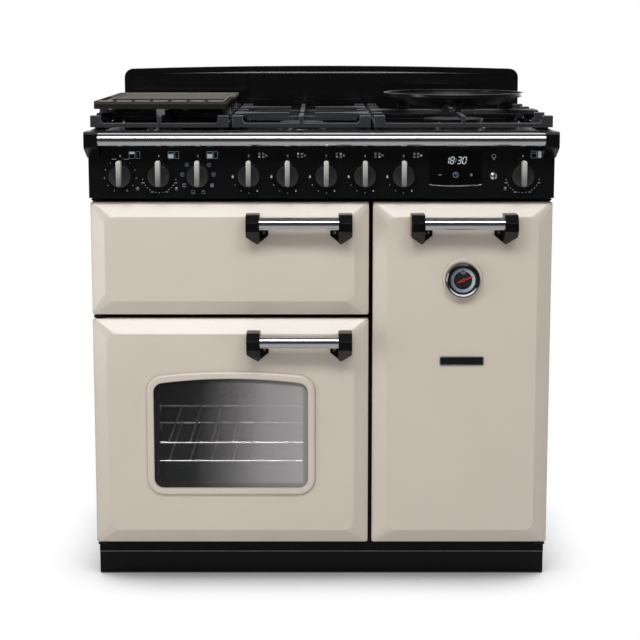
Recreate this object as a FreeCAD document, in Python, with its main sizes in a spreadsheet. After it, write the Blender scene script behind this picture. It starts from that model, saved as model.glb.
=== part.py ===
import FreeCAD, Part
import math
import os
import Sketcher
from types import SimpleNamespace

# A range cooker, 900 mm wide: two ovens and a grill behind side-hung doors, a five-burner hob with
# cast pan supports, a griddle plate and a wok ring.
# X runs to the right, Y to the rear, Z up, and the floor is at zero.

os.makedirs("parts", exist_ok=True)

SIZES = (
    # Doors
    ("left_door_width", 540),
    ("right_door_width", 348),
    ("door_side_margin", 2),
    ("door_split_gap", 8),
    ("door_bottom", 76),
    ("oven_door_height", 452),
    ("grill_door_height", 221),
    ("door_gap", 9),
    ("bevel_width", 28),
    ("bevel_depth", 15),
    ("skirt_depth", 20),
    ("door_sheet", 1.5),
    ("door_rim_radius", 4),
    ("door_flat_radius", 20),
    ("door_liner_thickness", 3),
    ("door_liner_clearance", 0.3),
    # Oven window
    ("window_width", 303),
    ("window_height", 221),
    ("window_rise", 11),
    ("window_radius", 19),
    ("bead_width", 14),
    ("bead_height", 6),
    ("bead_round", 5),
    ("glass_thickness", 4),
    ("glass_lap", 12),
    # Door handles
    ("handle_reach", 48),
    ("handle_length", 204),
    ("handle_drop", 37),
    ("handle_end_inset", 33),
    ("handle_bar_radius", 12),
    ("bracket_block", 26),
    ("bracket_base", 42),
    ("bracket_rise", 17),
    ("bracket_side", 26),
    ("bracket_tip", 43),
    ("bracket_slope", 14),
    ("bracket_foot", 12),
    ("wing_thickness", 8),
    ("wing_drop", 14),
    ("screw_radius", 4),
    ("screw_sink", 3),
    # Gauge and name plate on the tall door
    ("gauge_drop", 150),
    ("gauge_radius", 33),
    ("gauge_reach", 18),
    ("gauge_lip", 5),
    ("gauge_recess", 8),
    ("gauge_stem_radius", 25),
    ("gauge_stem_length", 14),
    ("gauge_hole_clearance", 0.3),
    ("gauge_boss_radius", 38.5),
    ("gauge_boss_lift", 2.4),
    ("gauge_boss_height", 3),
    ("gauge_boss_round", 2),
    ("gauge_boss_clearance", 0.5),
    ("gauge_lens_thickness", 2),
    ("gauge_post_radius", 1.5),
    ("needle_length", 21),
    ("needle_tail", 11),
    ("needle_width", 2),
    ("needle_thickness", 1.2),
    ("needle_hub_radius", 3),
    ("needle_lift", 0.6),
    ("needle_angle", 21),
    ("needle_clearance", 0.05),
    ("badge_drop", 311),
    ("badge_width", 86),
    ("badge_height", 18),
    ("badge_thickness", 2),
    ("badge_radius", 2),
    # Hinges
    ("hinge_inset", 12),
    ("hinge_pin_radius", 4),
    ("hinge_pin_clearance", 0.05),
    ("hinge_pin_reach", 12),
    ("hinge_plate_thickness", 3.4),
    ("hinge_plate_width", 20),
    ("hinge_plate_nose", 8),
    # Casing
    ("body_depth", 600),
    ("seal_gap", 7),
    ("seal_width", 9),
    ("seal_clearance", 0.3),
    ("frame_sheet", 2),
    ("case_sheet", 1.5),
    ("case_inset", 3),
    ("rear_inset", 30),
    ("base_sheet", 2),
    ("plinth_setback", 45),
    ("plinth_depth", 70),
    ("plinth_inset", 3),
    ("plinth_sheet", 1.5),
    ("plinth_lift", 2),
    ("base_height", 46),
    ("foot_radius", 24),
    ("foot_pad", 10),
    ("foot_stem_radius", 8),
    ("foot_inset", 70),
    # Control panel
    ("panel_gap", 9),
    ("panel_height", 120),
    ("panel_sheet", 2),
    ("knob_rise", 43),
    ("knob_end_margin", 61),
    ("knob_pitch", 74.7),
    ("burner_knob_lead", 98),
    ("burner_knob_trail", 50),
    ("knob_skirt_radius", 26),
    ("knob_skirt_thickness", 4),
    ("knob_dial_radius", 21),
    ("knob_dial_thickness", 10),
    ("knob_edge", 1.5),
    ("knob_gap", 0.6),
    ("knob_shaft_radius", 4),
    ("knob_shaft_reach", 18),
    ("knob_shaft_clearance", 0.05),
    ("panel_hole_clearance", 1),
    ("grip_width", 9.5),
    ("grip_top", 31),
    ("grip_tail", 18),
    ("grip_reach", 19),
    ("grip_end_radius", 4),
    ("grip_round", 2),
    ("switch_size", 40),
    ("switch_depth", 34),
    ("tap_size", 24),
    ("display_width", 100),
    ("display_height", 62),
    ("display_rise", 28),
    ("display_end_margin", 140),
    ("display_proud", 1.5),
    ("display_radius", 3),
    ("display_body_inset", 8),
    ("display_body_depth", 24),
    ("display_clearance", 0.3),
    ("button_end_margin", 117),
    ("button_radius", 6.5),
    ("button_reach", 5),
    ("button_dome", 2),
    ("button_travel", 2),
    ("button_clearance", 0.3),
    ("button_body", 14),
    ("button_switch_size", 22),
    ("indicator_offset", 33),
    ("indicator_drop", 25),
    ("indicator_radius", 3.2),
    ("indicator_reach", 1.5),
    ("indicator_body", 10),
    # Front rail
    ("rail_radius", 13),
    ("rail_drop", 15),
    ("rail_bracket_width", 26),
    ("rail_bracket_drop", 52),
    ("rail_bracket_nose", 30),
    ("rail_bracket_round", 5),
    # Hob tray and splashback
    ("tray_depth", 10),
    ("tray_sheet", 2),
    ("tray_rim", 5),
    ("tray_setback", 1),
    ("splash_inset", 6),
    ("splash_height", 103),
    ("splash_rise", 7),
    ("splash_radius", 20),
    ("splash_border", 12),
    ("splash_recess", 2),
    ("splash_sheet", 4),
    ("splash_skirt", 30),
    # Pan supports
    ("support_margin", 2),
    ("support_gap", 8),
    ("support_front_inset", 20),
    ("support_rear_inset", 50),
    ("support_bar", 10),
    ("support_bar_height", 8),
    ("support_bar_lap", 2),
    ("finger_height", 16),
    ("finger_thickness", 8),
    ("flame_gap", 2),
    ("support_foot_radius", 4.5),
    ("tab_width", 24),
    ("tab_depth", 22),
    ("tab_taper", 4),
    ("tab_shoulder", 5),
    ("finger_root", 38),
    ("finger_shoulder", 18),
    ("finger_shoulder_reach", 34),
    ("finger_waist", 9),
    ("finger_waist_reach", 58),
    ("finger_tip", 4),
    ("fin_width", 8),
    ("burner_clear", 26),
    ("wok_clear", 44),
    # Griddle plate and wok ring
    ("griddle_side_margin", 2),
    ("griddle_front_inset", 34),
    ("griddle_rear_inset", 26),
    ("griddle_lift", 11.5),
    ("griddle_thickness", 14.5),
    ("griddle_rim", 9),
    ("griddle_recess", 4),
    ("griddle_radius", 10),
    ("griddle_foot", 16),
    ("wok_lift", 13),
    ("wok_rim_radius", 145),
    ("wok_base_radius", 104),
    ("wok_height", 23),
    ("wok_band", 6),
    ("wok_wall", 5),
    ("wok_leg_width", 12),
    ("wok_leg_inner", 94),
    ("wok_leg_outer", 116),
    # Burners
    ("burner_small", 30),
    ("burner_large", 42),
    ("burner_wok", 60),
    ("burner_flange", 7),
    ("burner_flange_height", 3),
    ("burner_height", 12),
    ("burner_cup_depth", 24),
    ("burner_cup_inset", 6),
    ("burner_hole_clearance", 0.4),
    ("cap_thickness", 5),
    ("cap_overhang", 2),
    ("cap_edge", 1.5),
    ("spark_radius", 2),
    ("spark_height", 15),
    ("spark_gap", 3),
    ("spark_offset", 14),
    # Gas pipes
    ("manifold_radius", 9),
    ("gas_pipe_radius", 12),
    ("gas_pipe_margin", 5),
    ("gas_bore_radius", 9.3),
    ("gas_bore_depth", 22),
    ("gas_end_inset", 4),
    ("gas_hole_clearance", 0.3),
    # Chambers
    ("cavity_side_margin", 45),
    ("cavity_end_margin", 35),
    ("cavity_wall", 1.5),
    ("fan_space", 120),
    ("fan_radius", 58),
    ("fan_blade_depth", 16),
    ("fan_blade_height", 20),
    ("fan_disc", 1.5),
    ("fan_gap", 6),
    ("fan_hub_radius", 12),
    ("fan_shaft_radius", 4),
    ("fan_shaft_reach", 24),
    ("fan_shaft_clearance", 0.05),
    ("fan_shaft_hole_clearance", 2),
    ("fan_motor_radius", 36),
    ("fan_motor_length", 60),
    ("fan_cover_size", 210),
    ("fan_cover_depth", 42),
    ("fan_cover_sheet", 1.5),
    ("fan_cover_hole", 13),
    ("fan_cover_ring", 36),
    ("element_ring_radius", 80),
    ("element_radius", 3.5),
    ("element_leg_radius", 2.8),
    ("element_leg_spread", 12),
    ("shelf_wire", 2.5),
    ("shelf_cross_wire", 2),
    ("shelf_side_gap", 6),
    ("shelf_front_gap", 24),
    ("shelf_rear_gap", 60),
    ("shelf_pitch", 46),
    ("shelf_low", 113),
    ("shelf_step", 38),
    ("tall_shelf_low", 190),
    ("tall_shelf_step", 200),
    ("ledge_depth", 14),
    ("ledge_thickness", 3),
    ("grill_pan_lift", 40),
    ("grill_pan_height", 34),
    ("grill_pan_sheet", 1.5),
    ("grill_pan_side_gap", 3),
    ("grill_pan_front_gap", 16),
    ("grill_pan_depth", 330),
    ("grill_element_drop", 14),
    ("grill_element_inset", 40),
    ("grill_element_front", 60),
    ("grill_clip_width", 8),
    # Terminal box on the rear
    ("terminal_side_margin", 90),
    ("terminal_rise", 150),
    ("terminal_width", 130),
    ("terminal_height", 90),
    ("terminal_depth", 26),
    ("gland_radius", 10),
    ("gland_depth", 20),
)
COUNTS = SimpleNamespace(tabs=5, blades=8, cover_holes=8, element_turns=4, tall_shelves=2)

DOC = FreeCAD.newDocument("range_cooker")
SHEET = DOC.addObject("Spreadsheet::Sheet", "Dims")
NODES = {}


class Size:
    """A length that carries the sheet formula behind its value."""

    def __init__(self, formula, value):
        self.formula = formula
        self.value = value

    @staticmethod
    def of(thing):
        """Takes a plain number for a length of its own."""
        if isinstance(thing, Size):
            return thing
        return Size(repr(thing), thing)

    def join(self, sign, other, value):
        """Writes the formula of two lengths with a sign between them."""
        return Size(f"({self.formula} {sign} {other.formula})", value)

    def __add__(self, other):
        other = Size.of(other)
        return self.join("+", other, self.value + other.value)

    def __sub__(self, other):
        other = Size.of(other)
        return self.join("-", other, self.value - other.value)

    def __mul__(self, other):
        other = Size.of(other)
        return self.join("*", other, self.value * other.value)

    def __rmul__(self, other):
        return Size.of(other) * self

    def __truediv__(self, other):
        other = Size.of(other)
        return self.join("/", other, self.value / other.value)

    def __neg__(self):
        return Size(f"(0 - {self.formula})", -self.value)


def fill_sheet():
    """Writes the driving sizes and gives them back by name."""
    named = {}
    for row, (alias, value) in enumerate(SIZES, start=1):
        SHEET.set(f"A{row}", alias)
        SHEET.set(f"B{row}", repr(value))
        SHEET.setAlias(f"B{row}", alias)
        named[alias] = Size(f"Dims.{alias}", value)
    DOC.recompute()
    return SimpleNamespace(**named)


D = fill_sheet()
ZERO = Size("0", 0)
AXES = {
    "x": FreeCAD.Rotation(FreeCAD.Vector(0, 1, 0), 90),
    "y": FreeCAD.Rotation(FreeCAD.Vector(1, 0, 0), -90),
    "-y": FreeCAD.Rotation(FreeCAD.Vector(1, 0, 0), 90),
    "z": FreeCAD.Rotation(),
}
PLANES = {"xy": "XY_Plane", "xz": "XZ_Plane", "yz": "YZ_Plane"}


def bind(thing, prop, size):
    """Ties a property to the sheet."""
    thing.setExpression(prop, Size.of(size).formula)


def place(thing, spot):
    """Ties where a thing stands to the sheet."""
    for axis, size in zip("xyz", spot):
        bind(thing, f"Placement.Base.{axis}", size)


def middle(span):
    """Half way between two planes."""
    return (span[0] + span[1]) / 2


def around(centre, half):
    """Two planes at the same distance from a centre."""
    return (centre - half, centre + half)


def inset(span, margin):
    """Two planes moved towards each other."""
    return (span[0] + margin, span[1] - margin)


def block(x, y, z):
    """A rectangular block between three pairs of planes."""
    box = DOC.addObject("Part::Box", "block")
    for prop, (low, high) in zip(("Length", "Width", "Height"), (x, y, z)):
        bind(box, prop, high - low)
    place(box, (x[0], y[0], z[0]))
    return box


def rod(axis, spot, radius, length):
    """A round bar that runs from a spot along one axis."""
    bar = DOC.addObject("Part::Cylinder", "rod")
    bind(bar, "Radius", radius)
    bind(bar, "Height", length)
    bar.Placement = FreeCAD.Placement(FreeCAD.Vector(), AXES[axis])
    place(bar, spot)
    return bar


def ball(spot, radius):
    """A ball that rounds the corner of two pipes."""
    sphere = DOC.addObject("Part::Sphere", "ball")
    bind(sphere, "Radius", radius)
    place(sphere, spot)
    return sphere


def group(*pieces):
    """Separate solids that make up one node."""
    whole = DOC.addObject("Part::Compound", "group")
    whole.Links = list(pieces)
    return whole


def fuse(*pieces):
    """Pieces that are one solid."""
    whole = DOC.addObject("Part::MultiFuse", "fuse")
    whole.Shapes = list(pieces)
    whole.Refine = True
    return whole


def weld(*wires):
    """Wires that are one solid."""
    whole = DOC.addObject("Part::MultiFuse", "weld")
    whole.Shapes = list(wires)
    return whole


def cut(base, *tools):
    """A piece with other shapes taken out of it."""
    part = DOC.addObject("Part::Cut", "cut")
    part.Base = base
    part.Tool = tools[0] if len(tools) == 1 else group(*tools)
    return part


def common(first, second):
    """What two shapes share."""
    part = DOC.addObject("Part::Common", "common")
    part.Base = first
    part.Tool = second
    return part


def new_body():
    """An empty body for sketched features."""
    return DOC.addObject("PartDesign::Body", "body")


def new_sketch(body, plane, level):
    """A sketch on one of the body's own planes, moved along its normal."""
    sketch = body.newObject("Sketcher::SketchObject", "sketch")
    role = PLANES[plane]
    base = [feature for feature in body.Origin.OriginFeatures if feature.Role == role][0]
    sketch.AttachmentSupport = (base, [""])
    sketch.MapMode = "FlatFace"
    bind(sketch, "AttachmentOffset.Base.z", -level if plane == "xz" else level)
    return sketch


def fix_point(sketch, geometry, end, spot):
    """Ties a point of a sketch to the sheet."""
    for kind, size in zip(("DistanceX", "DistanceY"), spot):
        index = sketch.addConstraint(Sketcher.Constraint(kind, -1, 1, geometry, end, size.value))
        bind(sketch, f"Constraints[{index}]", size)


def fix_radius(sketch, geometry, radius):
    """Ties the radius of an arc or circle to the sheet."""
    index = sketch.addConstraint(Sketcher.Constraint("Radius", geometry, radius.value))
    bind(sketch, f"Constraints[{index}]", radius)


def draw_polygon(sketch, corners):
    """Draws a closed outline of straight edges."""
    spots = [FreeCAD.Vector(u.value, v.value, 0) for u, v in corners]
    first = sketch.GeometryCount
    count = len(spots)
    for index in range(count):
        sketch.addGeometry(Part.LineSegment(spots[index], spots[(index + 1) % count]), False)
    for index in range(count):
        following = first + (index + 1) % count
        sketch.addConstraint(Sketcher.Constraint("Coincident", first + index, 2, following, 1))
        fix_point(sketch, first + index, 1, corners[index])


def draw_rounded(sketch, u, v, radius):
    """Draws a rectangle with rounded corners."""
    r = radius.value
    low_u, high_u = u[0].value, u[1].value
    low_v, high_v = v[0].value, v[1].value
    first = sketch.GeometryCount
    starts = (
        (u[0] + radius, v[0]),
        (u[1], v[0] + radius),
        (u[1] - radius, v[1]),
        (u[0], v[1] - radius),
    )
    ends = (
        (u[1] - radius, v[0]),
        (u[1], v[1] - radius),
        (u[0] + radius, v[1]),
        (u[0], v[0] + radius),
    )
    centres = (
        (high_u - r, low_v + r),
        (high_u - r, high_v - r),
        (low_u + r, high_v - r),
        (low_u + r, low_v + r),
    )
    for side in range(4):
        start = FreeCAD.Vector(starts[side][0].value, starts[side][1].value, 0)
        end = FreeCAD.Vector(ends[side][0].value, ends[side][1].value, 0)
        sketch.addGeometry(Part.LineSegment(start, end), False)
        circle = Part.Circle(FreeCAD.Vector(*centres[side], 0), FreeCAD.Vector(0, 0, 1), r)
        begin = math.pi * (side - 1) / 2
        sketch.addGeometry(Part.ArcOfCircle(circle, begin, begin + math.pi / 2), False)
    for side in range(4):
        line = first + 2 * side
        arc = line + 1
        following = first + (2 * side + 2) % 8
        sketch.addConstraint(Sketcher.Constraint("Coincident", line, 2, arc, 1))
        sketch.addConstraint(Sketcher.Constraint("Coincident", arc, 2, following, 1))
        fix_point(sketch, line, 1, starts[side])
        fix_point(sketch, line, 2, ends[side])
        fix_radius(sketch, arc, radius)


def draw_arched(sketch, u, v, rise):
    """Draws a rectangle whose top edge bows upwards by a rise within its height."""
    shoulder = v[1] - rise
    half = (u[1] - u[0]) / 2
    sweep = (half * half + rise * rise) / (2 * rise)
    corners = [(u[0], v[0]), (u[1], v[0]), (u[1], shoulder), (u[0], shoulder)]
    spots = [FreeCAD.Vector(a.value, b.value, 0) for a, b in corners]
    first = sketch.GeometryCount
    sketch.addGeometry(Part.LineSegment(spots[0], spots[1]), False)
    sketch.addGeometry(Part.LineSegment(spots[1], spots[2]), False)
    crown = FreeCAD.Vector(middle(u).value, v[1].value, 0)
    sketch.addGeometry(Part.Arc(spots[2], crown, spots[3]), False)
    sketch.addGeometry(Part.LineSegment(spots[3], spots[0]), False)
    sketch.addConstraint(Sketcher.Constraint("Coincident", first, 2, first + 1, 1))
    sketch.addConstraint(Sketcher.Constraint("Coincident", first + 1, 2, first + 2, 1))
    sketch.addConstraint(Sketcher.Constraint("Coincident", first + 2, 2, first + 3, 1))
    sketch.addConstraint(Sketcher.Constraint("Coincident", first + 3, 2, first, 1))
    fix_point(sketch, first, 1, corners[0])
    fix_point(sketch, first, 2, corners[1])
    fix_point(sketch, first + 1, 2, corners[2])
    fix_point(sketch, first + 3, 1, corners[3])
    fix_radius(sketch, first + 2, sweep)


def draw_circle(sketch, spot, radius):
    """Draws a full circle."""
    centre = FreeCAD.Vector(spot[0].value, spot[1].value, 0)
    index = sketch.addGeometry(Part.Circle(centre, FreeCAD.Vector(0, 0, 1), radius.value), False)
    fix_point(sketch, index, 3, spot)
    fix_radius(sketch, index, radius)


def add_pad(body, sketch, length, backwards=False):
    """Raises a sketch along its normal, or against it."""
    pad = body.newObject("PartDesign::Pad", "pad")
    pad.Profile = sketch
    bind(pad, "Length", length)
    pad.Reversed = backwards
    return pad


def add_pocket(body, sketch, depth, forwards=False):
    """Sinks a sketch against its normal, or along it."""
    pocket = body.newObject("PartDesign::Pocket", "pocket")
    pocket.Profile = sketch
    bind(pocket, "Length", depth)
    pocket.Reversed = forwards
    return pocket


def add_loft(body, kind, sketch, section):
    """Joins two outlines with straight walls."""
    loft = body.newObject(f"PartDesign::{kind}", "loft")
    loft.Profile = sketch
    loft.Sections = [section]
    loft.Ruled = True
    return loft


def soften(body, radius, chosen):
    """Rounds the edges of a body that a test picks out."""
    DOC.recompute()
    tip = body.Tip
    names = [f"Edge{n}" for n, edge in enumerate(tip.Shape.Edges, start=1) if chosen(edge)]
    fillet = body.newObject("PartDesign::Fillet", "fillet")
    fillet.Base = (tip, names)
    bind(fillet, "Radius", radius)
    return fillet


# How near an edge comes to a direction, in radians, and to a plane, in millimetres, to count as in it
ANGLE_TOLERANCE = 0.001
LEVEL_TOLERANCE = 0.01


def runs_along(edge, axis):
    """Tells whether an edge is straight and parallel to an axis."""
    ends = [vertex.Point for vertex in edge.Vertexes]
    if len(ends) != 2:
        return False
    angle = (ends[1] - ends[0]).getAngle(axis)
    return min(angle, math.pi - angle) < ANGLE_TOLERANCE


def lies_in(edge, axis, level):
    """Tells whether a whole edge lies in a plane across an axis."""
    box = edge.BoundBox
    low = getattr(box, f"{axis}Min")
    high = getattr(box, f"{axis}Max")
    return max(abs(low - level.value), abs(high - level.value)) < LEVEL_TOLERANCE


def rectangle(u, v):
    """The four corners of a rectangle."""
    return [(u[0], v[0]), (u[1], v[0]), (u[1], v[1]), (u[0], v[1])]


def slab(plane, corners, low, high):
    """A straight-edged outline raised between two planes."""
    body = new_body()
    sketch = new_sketch(body, plane, high if plane == "xz" else low)
    draw_polygon(sketch, corners)
    add_pad(body, sketch, high - low)
    return body


def rounded_slab(plane, u, v, radius, low, high):
    """A rectangle with rounded corners raised between two planes."""
    body = new_body()
    sketch = new_sketch(body, plane, high if plane == "xz" else low)
    draw_rounded(sketch, u, v, radius)
    add_pad(body, sketch, high - low)
    return body


def turned(axis, spot, profile):
    """A body of revolution: radii and heights about an axis through a spot."""
    body = new_body()
    sketch = new_sketch(body, "xz", ZERO)
    draw_polygon(sketch, profile)
    spin = body.newObject("PartDesign::Revolution", "spin")
    spin.Profile = sketch
    spin.ReferenceAxis = (sketch, ["V_Axis"])
    spin.Angle = 360
    body.Placement = FreeCAD.Placement(FreeCAD.Vector(), AXES[axis])
    place(body, spot)
    return body


def node(name, piece):
    """Gives a finished sub-part its name."""
    piece.Label = name
    NODES[name] = piece


# Main planes of the cooker
COOKER_WIDTH = D.left_door_width + D.door_split_gap + D.right_door_width + 2 * D.door_side_margin
SIDE = COOKER_WIDTH / 2
DEPTH = D.body_depth + D.handle_reach
FRONT = -DEPTH / 2
REAR = DEPTH / 2
DOOR_FACE = FRONT + D.handle_reach
DOOR_RIM = DOOR_FACE + D.bevel_depth
DOOR_BACK = DOOR_RIM + D.skirt_depth
FRAME_FRONT = DOOR_BACK + D.seal_gap
FRAME_BACK = FRAME_FRONT + D.frame_sheet
CASE_BACK = REAR - D.rear_inset
REAR_PANEL = (CASE_BACK - D.case_sheet, CASE_BACK)
CAVITY_REAR = REAR_PANEL[0] - D.fan_space
CASE_X = (-SIDE + D.case_inset, SIDE - D.case_inset)

OVEN_TOP = D.door_bottom + D.oven_door_height
GRILL_BOTTOM = OVEN_TOP + D.door_gap
DOOR_TOP = GRILL_BOTTOM + D.grill_door_height
PANEL_BOTTOM = DOOR_TOP + D.panel_gap
PANEL_TOP = PANEL_BOTTOM + D.panel_height
TRAY_FLOOR = PANEL_TOP + D.tray_sheet
HOB_TOP = PANEL_TOP + D.tray_depth
BASE_TOP = D.base_height + D.base_sheet
PANEL_BACK = DOOR_FACE + D.panel_sheet

LEFT_X = (-SIDE + D.door_side_margin, -SIDE + D.door_side_margin + D.left_door_width)
RIGHT_X = (SIDE - D.door_side_margin - D.right_door_width, SIDE - D.door_side_margin)
OVEN_Z = (D.door_bottom, OVEN_TOP)
GRILL_Z = (GRILL_BOTTOM, DOOR_TOP)
TALL_Z = (D.door_bottom, DOOR_TOP)
HINGE_Y = DOOR_BACK - D.skirt_depth / 2


class Chamber:
    """The clear space of one chamber behind its door."""

    def __init__(self, door_x, door_z):
        self.x = inset(door_x, D.cavity_side_margin)
        self.z = inset(door_z, D.cavity_end_margin)
        self.y = (FRAME_BACK, CAVITY_REAR)


OVEN = Chamber(LEFT_X, OVEN_Z)
GRILL = Chamber(LEFT_X, GRILL_Z)
TALL = Chamber(RIGHT_X, TALL_Z)


def build_casing():
    """Outer panels, base, plinth and feet."""
    case_z = (BASE_TOP, PANEL_TOP)
    left = block((CASE_X[0], CASE_X[0] + D.case_sheet), (FRAME_BACK, CASE_BACK), case_z)
    right = block((CASE_X[1] - D.case_sheet, CASE_X[1]), (FRAME_BACK, CASE_BACK), case_z)
    gas_hole_radius = D.gas_pipe_radius + D.gas_hole_clearance
    gas_hole = rod("y", (GAS_X, REAR_PANEL[0], KNOB_Z), gas_hole_radius, D.case_sheet)
    rear = cut(block(inset(CASE_X, D.case_sheet), REAR_PANEL, case_z), gas_hole)
    node("casing_panels", group(left, right, rear))
    node("base_tray", block(CASE_X, (FRAME_FRONT, CASE_BACK), (D.base_height, BASE_TOP)))

    plinth_x = inset((-SIDE, SIDE), D.plinth_inset)
    plinth_front = DOOR_FACE + D.plinth_setback
    plinth_y = (plinth_front, plinth_front + D.plinth_depth)
    shell = block(plinth_x, plinth_y, (D.plinth_lift, D.base_height))
    hollow = block(
        inset(plinth_x, D.plinth_sheet),
        (plinth_y[0] + D.plinth_sheet, plinth_y[1]),
        (D.plinth_lift, D.base_height - D.plinth_sheet),
    )
    node("plinth", cut(shell, hollow))

    foot_x = inset(CASE_X, D.foot_inset)
    foot_y = (plinth_y[1] + D.foot_radius, CASE_BACK - D.foot_inset)
    profile = [
        (ZERO, ZERO),
        (D.foot_radius, ZERO),
        (D.foot_radius, D.foot_pad / 2),
        (D.foot_stem_radius, D.foot_pad),
        (D.foot_stem_radius, D.base_height),
        (ZERO, D.base_height),
    ]
    feet = [turned("z", (x, y, ZERO), profile) for x in foot_x for y in foot_y]
    node("levelling_feet", group(*feet))


def build_front_frame():
    """Rails and stiles round the three chambers."""
    y = (FRAME_FRONT, FRAME_BACK)
    stile_z = (OVEN.z[0], GRILL.z[1])
    pieces = [
        block(CASE_X, y, (BASE_TOP, OVEN.z[0])),
        block(CASE_X, y, (GRILL.z[1], PANEL_BOTTOM)),
        block((CASE_X[0], OVEN.x[0]), y, stile_z),
        block((OVEN.x[1], TALL.x[0]), y, stile_z),
        block((TALL.x[1], CASE_X[1]), y, stile_z),
        block(OVEN.x, y, (OVEN.z[1], GRILL.z[0])),
    ]
    node("front_frame", group(*pieces))
    seals = []
    for chamber in (GRILL, OVEN, TALL):
        seal_y = (DOOR_BACK + D.seal_clearance, FRAME_FRONT)
        outer = block(inset(chamber.x, -D.seal_width), seal_y, inset(chamber.z, -D.seal_width))
        seals.append(cut(outer, block(chamber.x, seal_y, chamber.z)))
    node("door_seals", group(*seals))


def hinge_bracket(x, level, up, down):
    """A plate in a gap beside a door edge, with its hinge pins."""
    half = D.hinge_plate_thickness / 2
    y = (HINGE_Y - D.hinge_plate_nose, FRAME_FRONT)
    pieces = [block(around(x, D.hinge_plate_width / 2), y, around(level, half))]
    if up is not None:
        pieces.append(rod("z", (x, HINGE_Y, level), D.hinge_pin_radius, up - level + D.hinge_pin_reach))
    if down is not None:
        length = level - down + D.hinge_pin_reach
        pieces.append(rod("z", (x, HINGE_Y, level - length), D.hinge_pin_radius, length))
    return fuse(*pieces)


def build_hinges():
    """Hinge brackets: three for the left doors, two for the tall door."""
    left = LEFT_X[0] + D.hinge_inset
    right = RIGHT_X[1] - D.hinge_inset
    top = DOOR_TOP + D.panel_gap / 2
    bottom = D.door_bottom - D.panel_gap / 2
    brackets = [
        hinge_bracket(left, top, None, DOOR_TOP),
        hinge_bracket(left, OVEN_TOP + D.door_gap / 2, GRILL_BOTTOM, OVEN_TOP),
        hinge_bracket(left, bottom, D.door_bottom, None),
        hinge_bracket(right, top, None, DOOR_TOP),
        hinge_bracket(right, bottom, D.door_bottom, None),
    ]
    node("hinge_brackets", group(*brackets))


def box_liner(chamber, hole, levels):
    """A chamber of welded sheets with shelf ledges, open at the front; its rear sheet may have a hole."""
    wall = D.cavity_wall
    outer_x = inset(chamber.x, -wall)
    rear = block(outer_x, (chamber.y[1], chamber.y[1] + wall), inset(chamber.z, -wall))
    if hole is not None:
        rear = cut(rear, hole)
    return group(
        block(outer_x, chamber.y, (chamber.z[0] - wall, chamber.z[0])),
        block(outer_x, chamber.y, (chamber.z[1], chamber.z[1] + wall)),
        block((outer_x[0], chamber.x[0]), chamber.y, chamber.z),
        block((chamber.x[1], outer_x[1]), chamber.y, chamber.z),
        rear,
        *ledges(chamber, levels),
    )


def shelf(chamber, level):
    """A wire shelf on the ledges of an oven."""
    x = inset(chamber.x, D.shelf_side_gap)
    y = (chamber.y[0] + D.shelf_front_gap, chamber.y[1] - D.shelf_rear_gap)
    wire = D.shelf_wire
    middle_z = level + wire
    depth = y[1] - y[0]
    pieces = [
        rod("x", (x[0], y[0], middle_z), wire, x[1] - x[0]),
        rod("x", (x[0], y[1], middle_z), wire, x[1] - x[0]),
    ]
    spacing = (x[1] - x[0] - 2 * wire) / round((x[1].value - x[0].value) / D.shelf_pitch.value)
    for index in range(round((x[1].value - x[0].value) / D.shelf_pitch.value) + 1):
        spot = (x[0] + wire + spacing * index, y[0], middle_z)
        pieces.append(rod("y", spot, D.shelf_cross_wire, depth))
    return weld(*pieces)


def ledges(chamber, levels):
    """Folded shelf ledges along both sides of an oven."""
    y = (chamber.y[0], chamber.y[1] - D.shelf_rear_gap)
    pieces = []
    for level in levels:
        z = (level - D.ledge_thickness, level)
        pieces.append(block((chamber.x[0], chamber.x[0] + D.ledge_depth), y, z))
        pieces.append(block((chamber.x[1] - D.ledge_depth, chamber.x[1]), y, z))
    return pieces


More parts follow.
